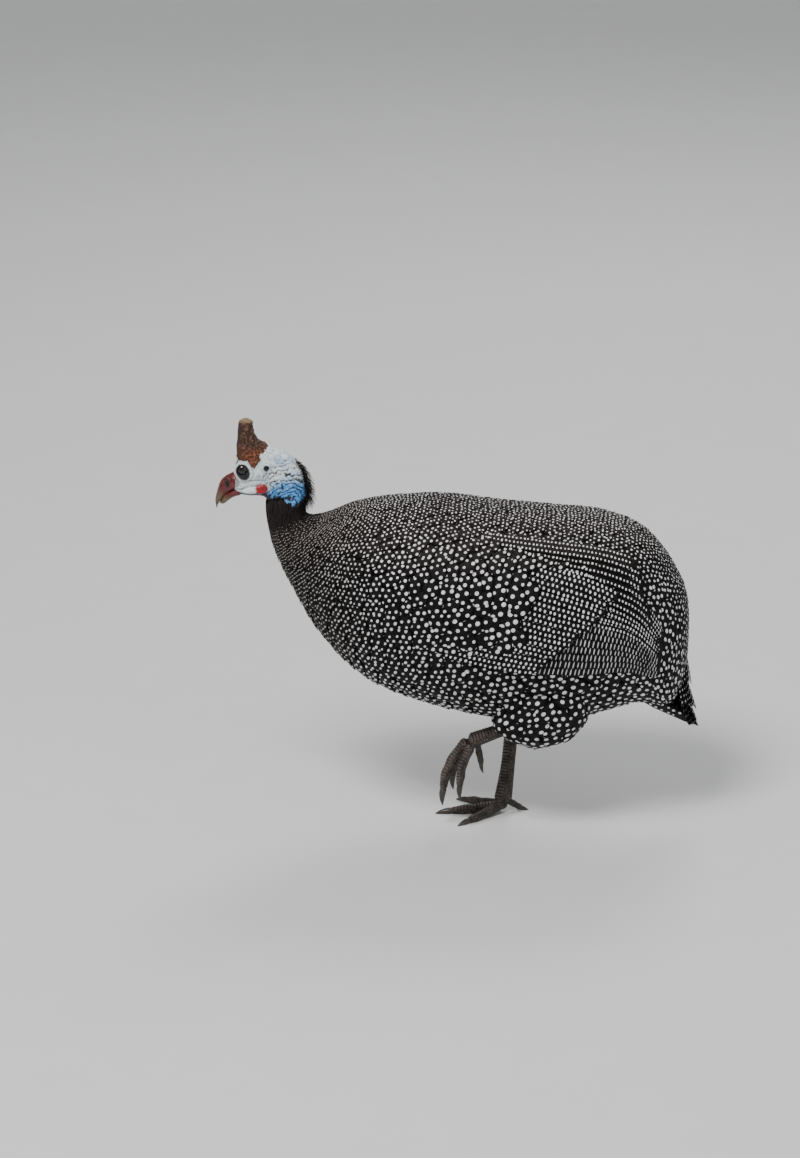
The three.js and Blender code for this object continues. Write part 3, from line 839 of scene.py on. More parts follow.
def spot_pitch(t, angle):
    """Distance between spots on the trunk, mm: fine on the neck and back, wide low on the flank."""
    t, side = np.asarray(t, float), np.abs(angle)
    at = [0.1, 0.2, 0.28, 0.36, 0.44, 0.52, 0.6, 0.75, 0.9, 1.0]
    back = np.interp(t, at, [2.5, 2.7, 3.2, 3.7, 4.2, 4.3, 4.2, 4.3, 5.0, 5.2])
    flank = np.interp(t, at, [2.5, 2.8, 3.7, 5.2, 6.9, 8.2, 8.8, 7.4, 6.2, 5.6])
    belly = np.interp(t, at, [2.5, 2.8, 3.9, 5.3, 6.8, 8.0, 8.8, 9.0, 7.6, 6.0])
    upper = back + (flank - back) * ease(14, 74, side)
    return upper + (belly - upper) * ease(95, 140, side)


def spot_share(t, angle):
    """Size of the spots against their distance: specks on the neck, wide spots on the flank."""
    t, side = np.asarray(t, float), np.abs(angle)
    share = np.interp(t, [0.13, 0.2, 0.42, 0.55], [0.16, 0.215, 0.23, 0.25])
    return share - 0.04 * (1 - ease(20, 70, side)) * ease(0.3, 0.45, t)


NECK_END = 0.215
THIGH_PITCH = 8.8
# Roots are first drawn this share of their spacing apart, and then pushed to that share apart
DRAWN_APART = 0.78
PUSHED_APART = 1.18
PUSHES = 20


def feather_spacing(t, angle):
    """Distance between the roots of body feathers: close on the neck, where they are slender."""
    return (1.15 + 0.73 * ease(NECK_END - 0.01, NECK_END + 0.02, t)) * spot_pitch(t, angle)


def thigh_pitch(t, angle):
    return np.full(np.broadcast(t, angle).shape, THIGH_PITCH)


def scatter(surface, spacing, t_span, angle_span, seed, tries=90000):
    """Roots spread evenly over a surface about spacing(t, angle) apart, seeded."""
    rng = np.random.default_rng(seed)
    t, angle = rng.uniform(*t_span, tries), rng.uniform(*angle_span, tries)
    gap = spacing(t, angle) * DRAWN_APART
    share = surface.mm_per_degree(t, angle) * surface.mm_per_t(t, angle) / gap**2
    kept = rng.random(tries) < share / np.percentile(share, 99)
    t, angle, gap = t[kept], angle[kept], gap[kept]
    points = surface.bare(t, angle)
    tree = tree_of(points)
    free = np.ones(len(points), bool)
    chosen = []
    for i in range(len(points)):
        if free[i]:
            chosen.append(i)
            for _, j, _ in tree.find_range(points[i], gap[i]):
                free[j] = False
    t, angle = t[chosen], angle[chosen]
    for _ in range(PUSHES):
        t, angle = pushed_apart(surface, spacing, t, angle)
        t = np.clip(t, *t_span)
        angle = (angle + 180) % 360 - 180
    return t, angle


def tree_of(points):
    tree = kdtree.KDTree(len(points))
    for i, point in enumerate(points):
        tree.insert(point, i)
    tree.balance()
    return tree


def pushed_apart(surface, spacing, t, angle):
    """One step in which each root moves away from its six nearest neighbours."""
    points = surface.bare(t, angle)
    tree = tree_of(points)
    near = np.array([[found[1] for found in tree.find_n(point, 7)][1:] for point in points])
    away = points[:, None] - points[near]
    distance = np.maximum(np.linalg.norm(away, axis=-1, keepdims=True), 0.01)
    gap = spacing(t, angle)[:, None, None]
    push = (away / distance * np.maximum(0, gap * PUSHED_APART - distance)).sum(1) * 0.3
    along = surface.bare(t + 0.004, angle) - surface.bare(t - 0.004, angle)
    over = surface.bare(t, angle + 1) - surface.bare(t, angle - 1)
    t = t + (push * along).sum(-1) / (along**2).sum(-1) * 0.008
    return t, angle + (push * over).sum(-1) / (over**2).sum(-1) * 2


def contour_vanes(surface, pitch, t, angle, sizes, seed, outline=rounded_outline, slim=1.0):
    """Small body feathers from their roots, lying back along the surface."""
    rng = np.random.default_rng(seed)
    step = pitch(t, angle)
    length = step * sizes.vane_length * rng.uniform(0.93, 1.07, len(t))
    half_width = step * sizes.vane_width * slim
    lean = rng.normal(0, 0.07, len(t))
    along = ROW_PLACES * length[:, None]
    middle_t = np.minimum(t[:, None] + along / surface.mm_per_t(t, angle)[:, None], 0.985)
    middle_angle = angle[:, None] + lean[:, None] * along / surface.mm_per_degree(t, angle)[:, None]
    jitter = rng.uniform(-0.25, 0.25, len(t))[:, None]
    scale = np.minimum(1, step / 6)[:, None]
    line = scale * (jitter - sizes.coat_depth / MM * (1 - ROW_PLACES) ** 1.3)
    camber = 0.07 * half_width[:, None, None] * COLUMN_PLACES**2
    return Vanes(surface, middle_t, middle_angle, half_width, line[:, :, None] - camber, outline), step


BODY_ROWS = ((0.6, (-0.5, 0.5)), (1.46, (-1, 0, 1)), (2.32, (-0.5, 0.5)), (3.18, (-0.9, 0, 0.9)))
NECK_ROWS = ((0.6, (0,)), (1.7, (0,)), (2.8, (0,)))


def contour_spots(vanes, step, size, seed, stretch, rows=BODY_ROWS):
    """Rows of spots near the tip of each body feather, in a close six-sided order."""
    rng = np.random.default_rng(seed)
    size, stretch = (np.broadcast_to(values, step.shape) for values in (size, stretch))
    spotted = np.nonzero(size > 0.05)[0]
    pitch = step[spotted]
    laid = []
    for back, places in rows:
        for place in places:
            across = (place + rng.normal(0, 0.07, len(pitch))) * pitch
            along = vanes.length()[spotted] - (back + rng.normal(0, 0.07, len(pitch))) * pitch
            radius = size[spotted] * pitch * rng.uniform(0.75, 1.18, len(pitch))
            wide, long = radius * stretch[spotted], radius / stretch[spotted]
            laid.append((vanes, spotted, across, along, wide, long))
    return laid


FLIGHT_ROWS = np.concatenate([np.linspace(0, 0.86, 13), [0.91, 0.955, 0.985, 1.0]])


def between(ends, share):
    """Places from the first pair of numbers in ends to the second, one for each share."""
    first, last = np.array(ends[:2]), np.array(ends[2:])
    return first + (last - first) * share[..., None]


def tier_vanes(count, root, tip, half_width, lift, seed, side):
    """A tier of long feathers on the flank, lowest first. root and tip: t and angle of the lowest
    feather's, then of the highest one's. lift: height over the bare trunk at root and tip."""
    rng = np.random.default_rng(seed)
    share = np.linspace(0, 1, count)[:, None]
    start, end = between(root, share), between(tip, share)
    end[..., 0] += rng.uniform(-0.004, 0.004, (count, 1))
    middle = start + (end - start) * np.stack([FLIGHT_ROWS, FLIGHT_ROWS**1.7], -1)[None]
    t, angle = middle[..., 0], middle[..., 1]
    spacing = np.abs(np.gradient(angle, axis=0)) * TRUNK_BARE.mm_per_degree(t, angle)
    width, across = flight_widths(count, half_width)
    height = lift[0] + (lift[1] - lift[0]) * FLIGHT_ROWS[None, :, None]
    height = height + 0.7 * across / np.maximum(spacing, 3)[:, :, None]
    if side > 0:
        angle, height = -angle, height[:, :, ::-1]
    return Vanes(TRUNK_BARE, t, angle, width, height, long_outline, FLIGHT_ROWS)


def flight_widths(count, half_width):
    """The half width of each long feather, and how far across each of its points lies."""
    width = np.full(count, float(half_width))
    return width, width[:, None, None] * long_outline(FLIGHT_ROWS)[None, :, None] * COLUMN_PLACES


def rows_of_marks(vanes, lines, pitch, start, stop, wide, long, seed, side, chosen=None):
    """Lines of spots or bars along each vane. lines: places across as a share of the half width."""
    rng = np.random.default_rng(seed)
    laid = []
    length = vanes.length()
    chosen = np.arange(len(length)) if chosen is None else chosen
    for k, line in enumerate(lines):
        phase = rng.uniform(-0.15, 0.15, len(length)) + 0.5 * (k % 2)
        for step in range(int(length.max() * (stop - start) / pitch) + 1):
            along = length * start + (step + phase) * pitch
            which = chosen[along[chosen] < (length * stop)[chosen]]
            if not len(which):
                continue
            jitter = rng.normal(0, 0.05, (2, len(which))) * pitch
            across = line * vanes.half_width[which] * -side + jitter[0]
            size = rng.uniform(0.85, 1.12, len(which))
            laid.append((vanes, which, across, along[which] + jitter[1], size * wide, size * long))
    return laid


class GuineaOperator:
    bl_options = {"REGISTER", "UNDO"}


class GUINEA_OT_skin(GuineaOperator, bpy.types.Operator):
    """Make the skin of the trunk and the thighs"""

    bl_idname = "guinea.skin"
    bl_label = "Trunk skin"

    def execute(self, context):
        depth = context.scene.feather_sizes.coat_depth / MM + 1.0

        def trunk(t, angle):
            return TRUNK_BARE.point(np.clip(t, 0.02, 0.98), angle, -depth * ease(0, 0.2, t))

        body = [(96, 72, trunk)]
        for loft in THIGH_LOFTS.values():
            body.append((48, 32, lambda t, a, loft=loft: loft.point(np.clip(t, 0.03, 0.97), a, -depth)))
        shade(closed_mesh("body_skin", body, voxel_mm=3.6), "hide")
        return {"FINISHED"}


def ring_shape(centre, radius, thickness, squash=1.0, tilt=0.0):
    """A flattened ball, which the remesh fuses in as a lid, a rim or a fold."""
    def place(t, angle):
        turn = np.radians(angle)
        r = radius + thickness * 0.6
        x = r * np.sin(t * math.pi) * np.cos(turn)
        z = r * squash * np.sin(t * math.pi) * np.sin(turn)
        y = thickness * np.cos(t * math.pi) * 2.0
        c, s = math.cos(tilt), math.sin(tilt)
        return centre + np.stack([x * c - z * s, y, x * s + z * c], -1)
    return (32, 20, place)


class GUINEA_OT_head(GuineaOperator, bpy.types.Operator):
    """Make the bare head with its lids, ears, folds and colours"""

    bl_idname = "guinea.head"
    bl_label = "Head"

    def execute(self, context):
        shapes = [
            (64, 56, HEAD_LOFT.point),
            (48, 40, lambda t, a: TRUNK_BARE.point(0.03 + 0.3 * t, a, -1.5 - 6 * ease(0.8, 1, t))),
        ]
        for sign in SIDES.values():
            mirror = np.array([1, sign, 1])
            shapes.append(ring_shape((EYE + [-0.2, 3.0, -1.6]) * mirror, 7.0, 1.5, squash=1.16, tilt=0.25))
            shapes.append(ring_shape((EAR + [0, -0.4, 0]) * mirror, 4.6, 1.3))
            fold = [(-207, 337), (-202, 335.5), (-196, 334.5), (-190, 335)]
            for i, (x, z) in enumerate(fold):
                centre = np.array([x, (9.2 + i * 0.9) * sign, z])
                shapes.append(ring_shape(centre, 2.6, 0.9))
        head = closed_mesh("head_skin", shapes, voxel_mm=0.62)
        points, normals = surface_of(head)
        x, y, z = points.T
        side = np.abs(y)

        def near(centre, radius_x, radius_z, tilt=0.0):
            dx, dz = x - centre[0], z - centre[2]
            c, s = math.cos(tilt), math.sin(tilt)
            return np.sqrt(((dx * c + dz * s) / radius_x) ** 2 + ((dz * c - dx * s) / radius_z) ** 2)

        socket = near(EYE, 5.1, 5.1)
        eye_hole = (1 - ease(0.8, 1.05, socket)) * (side > 6)
        ear_hole = (1 - ease(0.45, 1.0, near(EAR, 3.4, 3.6))) * (side > 8)
        coarse, fine = wobble(points, 0.11), wobble(points, 0.36)
        rear = ease(-196, -172, x + 0.35 * (352 - z) + 5 * coarse)
        away = np.hypot(x - LOBE[0], z - LOBE[1])
        lobe = 1 - ease(17, 27, away + 5 * coarse)
        ridge = np.abs((away / 4.4 + coarse + 0.2 * fine) % 1 - 0.5) * 2
        creased = rear * ease(4, 9, side) * (1 - 0.55 * ease(352, 366, z))
        groove = (1 - ease(0.05, 0.55, ridge)) * creased
        throat = (1 - ease(330, 336, z + 2 * coarse)) * (1 - ease(-176, -170, x))
        edge_x = [-184, -178, -170, -166, -159, -153, -146]
        border = np.interp(x, edge_x, [333, 328, 333, 328, 322, 325, 330])
        below = 1 - ease(-1.5, 1.5, z - border + 2.5 * fine)
        wrinkle = 0.5 * fine * (1 - eye_hole) * (1 - ear_hole) + 0.35 * coarse
        ring = near(EYE + [0.4, 0, -2.2], 9.6, 11.2, tilt=0.35)
        lid_fold = np.exp(-(((ring - 1) / 0.09) ** 2)) * (side > 5)
        gape = np.exp(-(((z - 345.5 - (x + 206) * 0.1 + 1.5 * coarse) / 1.0) ** 2))
        gape = gape * ease(-208, -204, x) * (1 - ease(-188, -182, x)) * (side > 5)
        lift = -7.0 * eye_hole - 2.6 * ear_hole - 1.1 * groove + wrinkle - 0.8 * lid_fold - 0.7 * gape
        mouth = (1 - ease(0.3, 1.1, np.abs(z - (337.5 + (x + 206) * 0.02)))) * ease(-212, -208, x)
        mouth = mouth * (1 - ease(-202, -198, x)) * (side > 5)
        lift = lift - 0.9 * mouth
        set_vertices(head, points + normals * lift[:, None])
        lids = 1 - ease(0.9, 1.06, near(EYE + [0.6, 0, -1.9], 6.5, 8.6, tilt=0.42) + 0.05 * fine)
        lids = lids * (side > 6)
        # Painted shadow: the ear opening, sunk into the head, is painted near black
        ear_painted_shadow = (1 - ease(0.85, 1.05, near(EAR, 3.2, 3.4))) * (side > 8)
        cheek = ease(0.0, 0.6, coarse + 0.3) * 0.4 * rear
        set_attribute(head, "blue", np.clip(lobe + cheek + 0.75 * throat, 0, 1))
        lore = (1 - ease(0.6, 1.1, near([-211, 0, 343], 4.0, 5.0))) * 0.6
        set_attribute(head, "red", lore)
        # The dark attribute holds the black lids, the dark neck below the bare skin's border and the
        # throat's dark patches. It also holds painted shade: the ear opening, the grooves of the creases,
        # the mouth line and the lid and gape folds are darkened where they are sunk
        dark = lids + ear_painted_shadow + 1.15 * groove * ease(0.0, 0.3, fine + 0.42) + 0.8 * mouth + below
        dark = dark + 0.35 * (lid_fold + gape) + 0.6 * throat * ease(-0.2, 0.3, fine)
        set_attribute(head, "dark", np.clip(dark, 0, 1))
        set_attribute(head, "specks", ease(357, 368, z + (x + 180) * 0.2) * (x > -192))
        shade(head, "skin")
        return {"FINISHED"}


class GUINEA_OT_horn(GuineaOperator, bpy.types.Operator):
    """Make the casque, the bill and the wattles"""

    bl_idname = "guinea.horn"
    bl_label = "Casque, bill and wattles"

    def execute(self, context):
        shapes = [(64, 72, Loft(CASQUE, fullness=2.2).point)]
        shapes += [(24, 24, Loft(LAPPET, LAPPET_SIDE * sign).point) for sign in SIDES.values()]
        casque = closed_mesh("casque_horn", shapes, voxel_mm=0.55)
        points, normals = surface_of(casque)
        rough = wobble(points, 0.34) + 0.6 * np.abs(wobble(points, 0.75))
        set_vertices(casque, points + normals * (0.7 * rough - 0.4)[:, None])
        finish_piece(casque, "casque", ["casque"])
        for name, stations in (("bill_upper", UPPER_BILL), ("bill_lower", LOWER_BILL)):
            bill = closed_mesh(name + "_horn", [(96, 88, Loft(stations).point)])
            points, normals = surface_of(bill)
            gap = np.hypot((points[:, 0] - NOSTRIL[0]) / 1.9, (points[:, 2] - NOSTRIL[2]) / 4.4)
            hole = (1 - ease(0.4, 1.1, gap)) * (np.abs(points[:, 1]) > 3)
            rim = np.exp(-(((gap - 1.45) / 0.45) ** 2)) * (np.abs(points[:, 1]) > 3)
            lift = 0.5 * rim - 2.2 * hole + 0.2 * wobble(points, 0.4) - 0.1
            set_vertices(bill, points + normals * lift[:, None])
            # Painted shade: the sunken nostril opening is painted near black
            set_attribute(bill, "dark", 1 - ease(0.75, 1.15, gap))
            finish_piece(bill, "bill", [name])
        for side, sign in SIDES.items():
            wattle = closed_mesh(f"wattle_{side}_skin", [(56, 64, Loft(WATTLE, WATTLE_SIDE * sign).point)])
            points, normals = surface_of(wattle)
            set_vertices(wattle, points + normals * (0.55 * wobble(points, 0.3))[:, None])
            finish_piece(wattle, "wattle", [f"wattle_{side}"])
        return {"FINISHED"}


class GUINEA_OT_eyes(GuineaOperator, bpy.types.Operator):
    """Make the two eyes"""

    bl_idname = "guinea.eyes"
    bl_label = "Eyes"

    def execute(self, context):
        for side, sign in SIDES.items():
            centre = EYE * [1, sign, 1]

            def ball(t, angle, centre=centre, sign=sign):
                turn = np.radians(angle)
                r = EYE_RADIUS * (1 + 0.05 * np.exp(-((t / 0.16) ** 2)))
                out = np.stack([np.sin(t * math.pi) * np.cos(turn), sign * np.cos(t * math.pi),
                                np.sin(t * math.pi) * np.sin(turn)], -1)
                return centre + out * r[..., None]

            eye = closed_mesh(f"eye_{side}_ball", [(48, 40, ball)])
            finish_piece(eye, "eye", [f"eye_{side}"])
        return {"FINISHED"}


def limb_place(points, radii, blunt, pads=0, pad_depth=0.0):
    """A round limb along points, as in the solids: place(t, angle) on its surface."""
    points = np.asarray(points, float)

    def place(t, angle):
        t = np.asarray(t, float)
        centre = centripetal(points, t)
        tangent = unit(centripetal(points, t + 0.01) - centripetal(points, t - 0.01))
        across = unit(np.array([0, 1, 0]) - tangent * tangent[..., 1:2])
        up = np.cross(across, tangent)
        swell = 1 + pad_depth * np.cos(2 * math.pi * pads * t)
        shape = np.minimum(1, np.sin(t * math.pi) * blunt)
        r = (shape * swell * np.maximum(0, catmull(np.asarray(radii)[:, None], t)[..., 0]))[..., None]
        turn = np.radians(angle)[..., None]
        return centre + up * r * np.cos(turn) + across * r * np.sin(turn)

    return place


def centripetal(points, t):
    """The solids' limbs follow a curve spaced by the root of each span."""
    points = np.vstack([2 * points[0] - points[1], points, 2 * points[-1] - points[-2]])
    i, w = span_at(len(points) - 3, t)
    p0, p1, p2, p3 = (points[i + k] for k in range(4))
    d0, d1, d2 = (np.maximum(np.linalg.norm(b - a, axis=-1, keepdims=True), 1e-4) ** 0.5
                  for a, b in ((p0, p1), (p1, p2), (p2, p3)))
    m1 = ((p1 - p0) / d0 - (p2 - p0) / (d0 + d1) + (p2 - p1) / d1) * d1
    m2 = ((p2 - p1) / d1 - (p3 - p1) / (d1 + d2) + (p3 - p2) / d2) * d1
    return hermite(p1, p2, m1, m2, w)


def above_floor(points):
    """Points in millimetres, with those under the floor moved up to it."""
    return np.maximum(points, [-np.inf, -np.inf, -ORIGIN[2]])


def claw_points(side, name):
    """Points of a claw, which carries on from the end of its toe and curves down or back."""
    points = np.array(TOES[side][name], float)
    ahead = unit(points[-1] - points[-2])
    length = CLAW_LENGTH[name]
    down = np.array([0, 0, -1.0]) if side == "right" else np.array([0.9, 0, -0.3])
    bend = 0.12 if side == "right" else 0.2
    return [points[-1] + ahead * length * s + down * length * bend * s * s for s in (-0.35, 0.1, 0.55, 1)]


class GUINEA_OT_legs(GuineaOperator, bpy.types.Operator):
    """Make the scaled legs and the claws"""

    bl_idname = "guinea.legs"
    bl_label = "Legs"

    def execute(self, context):
        claws = []
        for side in SIDES:
            shapes = [(40, 60, limb_place(SHANKS[side], SHANK_RADII[side], blunt=4.5))]
            paths = [np.array(SHANKS[side], float)]
            joint = np.array(SHANKS[side][2], float)
            for name, points in TOES[side].items():
                r = TOE_RADIUS[name]
                inward = joint + (np.array(points[0]) - joint) * 0.4 + [0, 0, 1.0 * (side == "right")]
                place = limb_place([inward, *points], [r, r * 0.98, r, r * 0.9, r * 0.72], 4.2, 4, 0.06)
                shapes.append((32, 60, place))
                paths.append(np.array([inward, *points], float))
                thick = [r * 0.62, r * 0.62, r * 0.42, 0.4]
                claws.append((24, 36, limb_place(claw_points(side, name), thick, blunt=4.5)))
            leg = closed_mesh(f"leg_{side}_skin", shapes, voxel_mm=0.6, softening=8)
            points, normals = surface_of(leg)
            along, front = self.along_paths(points, paths, side)
            ring = 1 - ease(0.0, 0.3, np.abs(along / SCUTE_PITCH % 1 - 0.5))
            points = points + normals * (0.12 - 0.5 * ring * front)[:, None]
            set_vertices(leg, above_floor(points) if side == "right" else points)
            set_attribute(leg, "along", along)
            set_attribute(leg, "front", front)
            shade(leg, "leg")
        claw = closed_mesh("claws_horn", claws)
        set_vertices(claw, above_floor(surface_of(claw)[0]))
        finish_piece(claw, "claw", [f"claw_{s}_{n}" for s in SIDES for n in TOES[s]])
        return {"FINISHED"}

    @staticmethod
    def along_paths(points, paths, side):
        """Millimetres along the nearest limb, and how far a point faces its scuted front."""
        samples, lengths, tangents = [], [], []
        for path in paths:
            line = centripetal(path, np.linspace(0, 1, 50))
            step = np.linalg.norm(np.diff(line, axis=0), axis=1)
            samples.append(line)
            lengths.append(np.concatenate([[0], np.cumsum(step)]))
            tangents.append(unit(np.gradient(line, axis=0)))
        line, run, tangent = np.concatenate(samples), np.concatenate(lengths), np.concatenate(tangents)
        nearest = ((points[:, None] - line[None]) ** 2).sum(-1).argmin(1)
        offset = points - line[nearest]
        along = run[nearest] + (offset * tangent[nearest]).sum(-1)
        forward = np.array([-1.0, 0, 0.25])
        front = forward - tangent[nearest] * (tangent[nearest] @ forward)[:, None]
        facing = (unit(offset) * unit(front)).sum(-1)
        return along, ease(0.05, 0.35, facing)


class GUINEA_OT_join_skin(GuineaOperator, bpy.types.Operator):
    """Join the skins of body, head and legs into the bird's one skin"""

    bl_idname = "guinea.join_skin"
    bl_label = "One skin"

    def execute(self, context):
        parts = [bpy.data.objects[name] for name in
                 ("head_skin", "body_skin", "leg_left_skin", "leg_right_skin")]
        with context.temp_override(active_object=parts[0], selected_editable_objects=parts):
            bpy.ops.object.join()
        skin = parts[0]
        skin.name = "skin"
        thinning = skin.modifiers.new("thin", "DECIMATE")
        thinning.ratio = SKIN_SHARE
        apply_modifiers(skin)
        nodes = ["torso", "neck", "head"]
        for side in SIDES:
            nodes += [f"thigh_{side}", f"shank_{side}"] + [f"toe_{side}_{name}" for name in TOES[side]]
        register_piece(skin, nodes)
        return {"FINISHED"}


class GUINEA_OT_body_feathers(GuineaOperator, bpy.types.Operator):
    """Lay the small spotted feathers of the neck, body and thighs"""

    bl_idname = "guinea.body_feathers"
    bl_label = "Body feathers"

    def execute(self, context):
        sizes = context.scene.feather_sizes
        thickness = sizes.vane_thickness / MM
        t, angle = scatter(TRUNK_COAT, feather_spacing, (0.085, 0.95), (-180, 180), 4)
        side = np.abs(angle)
        covered = (side > 51) & (side < 102) & (t > 0.555) & (t < np.where(side < 72, 0.68, 0.71))
        t, angle = t[~covered], angle[~covered]
        regions = {
            "neck": t < NECK_END,
            "breast": (t >= NECK_END) & (t < 0.42),
            "mid": (t >= 0.42) & (t < 0.62),
            "rump": t >= 0.62,
        }
        for name, inside in regions.items():
            here_t, here_angle = t[inside], angle[inside]
            shape, rows = {}, BODY_ROWS
            if name == "neck":
                shape, rows = {"outline": hackle_outline, "slim": 0.62}, NECK_ROWS
            vanes, step = contour_vanes(TRUNK_COAT, spot_pitch, here_t, here_angle, sizes, 5, **shape)
            part = "neck" if name == "neck" else "plumage"
            finish_piece(vanes.mesh(f"{name}_feathers", thickness), part)
            low = ease(80, 120, np.abs(here_angle)) * (1 - ease(0.45, 0.6, here_t))
            stretch = 1 + 0.25 * low + 0.6 * (1 - ease(0.25, 0.36, here_t))
            size = spot_share(here_t, here_angle) * sizes.spot_size * ease(0.13, 0.18, here_t)
            spots = marks_mesh(f"{name}_spots", contour_spots(vanes, step, size, 6, stretch, rows))
            finish_piece(spots, "specks" if name in ("neck", "breast") else "spots")
        for side, loft in THIGH_LOFTS.items():
            roots = scatter(loft, lambda t, a: 1.8 * thigh_pitch(t, a), (0.12, 0.9), (-180, 180), 9, 20000)
            vanes, step = contour_vanes(loft, thigh_pitch, *roots, sizes, 10)
            finish_piece(vanes.mesh(f"thigh_{side}_feathers", thickness), "plumage")
            laid = contour_spots(vanes, step, 0.25 * sizes.spot_size, 11, 1.0)
            finish_piece(marks_mesh(f"thigh_{side}_spots", laid), "spots")
        return {"FINISHED"}


# Each tier of the wing: count, [t, angle] of roots and of tips, half width, lifts and seed
WING_TIERS = {
    "secondaries": (13, (0.56, 101, 0.57, 50), (0.8, 98, 0.775, 74), 8.5, (1.8, 3.9), 21),
    "coverts": (10, (0.49, 100, 0.49, 46), (0.62, 100, 0.69, 63), 9, (0.6, 6.3), 22),
    "tertials": (7, (0.48, 51, 0.48, 36), (0.75, 72, 0.71, 43), 8, (-0.8, 6.4), 23),
}
# Each kind of mark there: tier, lines across, distance, start, stop, half width, half length and seed
WING_SPOTS = (
    ("secondaries", (-0.6, -0.15, 0.3, 0.78), 3.8, 0.05, 0.97, 1.3, 0.95, 32),
    ("coverts", (-0.7, -0.25, 0.22, 0.76), 4.7, 0.05, 0.985, 1.45, 1.1, 33),
    ("tertials", (-0.7, -0.05, 0.6), 3.7, 0.05, 0.98, 1.1, 0.9, 34),
)
# The lowest secondaries are barred, and those above them dotted
BARRED = 7


class GUINEA_OT_wing_feathers(GuineaOperator, bpy.types.Operator):
    """Lay the tiers of the folded wings: barred secondaries, coverts and tertials"""

    bl_idname = "guinea.wing_feathers"
    bl_label = "Wings"

    def execute(self, context):
        thickness = context.scene.feather_sizes.vane_thickness / MM
        for side, sign in SIDES.items():
            tiers = {name: tier_vanes(*tier, sign) for name, tier in WING_TIERS.items()}
            for name, vanes in tiers.items():
                replaced = [f"wing_{side}"] if name == "secondaries" else []
                finish_piece(vanes.mesh(f"{name}_{side}", thickness), "plumage", replaced)
            secondaries = tiers["secondaries"]
            barred, dotted = np.split(np.arange(len(secondaries.t)), [BARRED])
            bars = rows_of_marks(secondaries, [0.52], 4.1, 0.05, 0.985, 3.7, 0.6, 31, sign, barred)
            finish_piece(marks_mesh(f"wing_{side}_bars", bars), "bars")
            laid = []
            for name, *spots in WING_SPOTS:
                laid += rows_of_marks(tiers[name], *spots, sign, dotted if name == "secondaries" else None)
            finish_piece(marks_mesh(f"wing_{side}_marks", laid), "spots")
        return {"FINISHED"}


class Fan:
    """The surface that a tier of tail feathers lies on: t runs along them and angle across, mm."""

    def __init__(self, root, droop, length, arch, bend, width):
        pitch = math.radians(droop)
        self.root = np.array([root[0], 0, root[1]], float)
        self.back = np.array([math.cos(pitch), 0, -math.sin(pitch)])
        self.above = np.array([math.sin(pitch), 0, math.cos(pitch)])
        self.length, self.arch, self.bend, self.width = length, arch, bend, width

    def bare(self, t, across):
        height = -self.arch * (across / self.width) ** 2 - self.bend * t * t
        flat = self.root + self.back * (t * self.length)[..., None] + self.above * height[..., None]
        return flat + np.stack([np.zeros_like(across), across, np.zeros_like(across)], -1)

    def normal(self, t, across):
        along = self.bare(t + 0.01, across) - self.bare(t - 0.01, across)
        over = self.bare(t, across + 0.5) - self.bare(t, across - 0.5)
        return unit(np.cross(along, over))

    def point(self, t, across, lift=0.0):
        return self.bare(t, across) + self.normal(t, across) * lift[..., None]

    def mm_per_degree(self, t, across):
        return np.ones(np.broadcast(t, across).shape)


def fan_vanes(count, root, droop, length, root_side, tip_side, half_width, arch, bend):
    """A tier of the drooping tail. The middle feather lies on top and each outer one under it."""
    fan = Fan(root, droop, length[0], arch, bend, tip_side)
    half = (count - 1) / 2
    share = ((np.arange(count) - half) / half)[:, None]
    reach = 1 + (length[1] / length[0] - 1) * np.abs(share)
    t = FLIGHT_ROWS[None] * reach
    spread = root_side + (tip_side - root_side) * FLIGHT_ROWS[None]
    middle = share * spread
    width, across = flight_widths(count, half_width)
    height = np.sign(share)[:, :, None] * across * half / spread[:, :, None] * 1.05
    height = height + 1.4 * (np.sign(share)[:, :, None] == 0)
    return Vanes(fan, t, middle, width, height, long_outline, FLIGHT_ROWS)


# Each tier of the tail: count, x and z of its root, droop in degrees, lengths in the middle and at
# the sides, half width of the tier at root and tip, half width of a feather, arch and bend
TAIL_TIERS = {
    "tail_feathers": (15, (201, 160), 65, (73, 62), 14, 17, 8, 4, 2),
    "tail_coverts": (11, (207, 174), 70, (66, 50), 15, 20, 9, 6, 2),
    "rump_coverts": (11, (211, 196), 77, (60, 46), 18, 23, 9, 8, 2),
    "side_coverts": (13, (188, 146), 48, (62, 56), 17, 12, 8, 1.5, 1),
    "undertail_coverts": (11, (175, 122), 25, (56, 50), 18, 11, 8, -2.5, -1),
}


class GUINEA_OT_tail_feathers(GuineaOperator, bpy.types.Operator):
    """Lay the tail's drooping feathers and the coverts above and below them"""

    bl_idname = "guinea.tail_feathers"
    bl_label = "Tail"

    def execute(self, context):
        thickness = context.scene.feather_sizes.vane_thickness / MM
        laid = []
        for seed, (name, tier) in enumerate(TAIL_TIERS.items()):
            vanes = fan_vanes(*tier)
            replaced = ["tail"] if name == "tail_feathers" else []
            finish_piece(vanes.mesh(name, thickness), "plumage", replaced)
            lines = [-0.7, 0.0, 0.7] if name in ("tail_coverts", "rump_coverts") else [-0.55, 0.55]
            laid += rows_of_marks(vanes, lines, 5.8, 0.12, 0.96, 1.12, 1.0, 40 + seed, 1)
            if name in ("side_coverts", "undertail_coverts"):
                below = vanes.underside(thickness)
                laid += rows_of_marks(below, [-0.45, 0.45], 6.6, 0.15, 0.8, 1.5, 1.5, 60 + seed, 1)
        finish_piece(marks_mesh("tail_spots", laid), "spots")
        return {"FINISHED"}


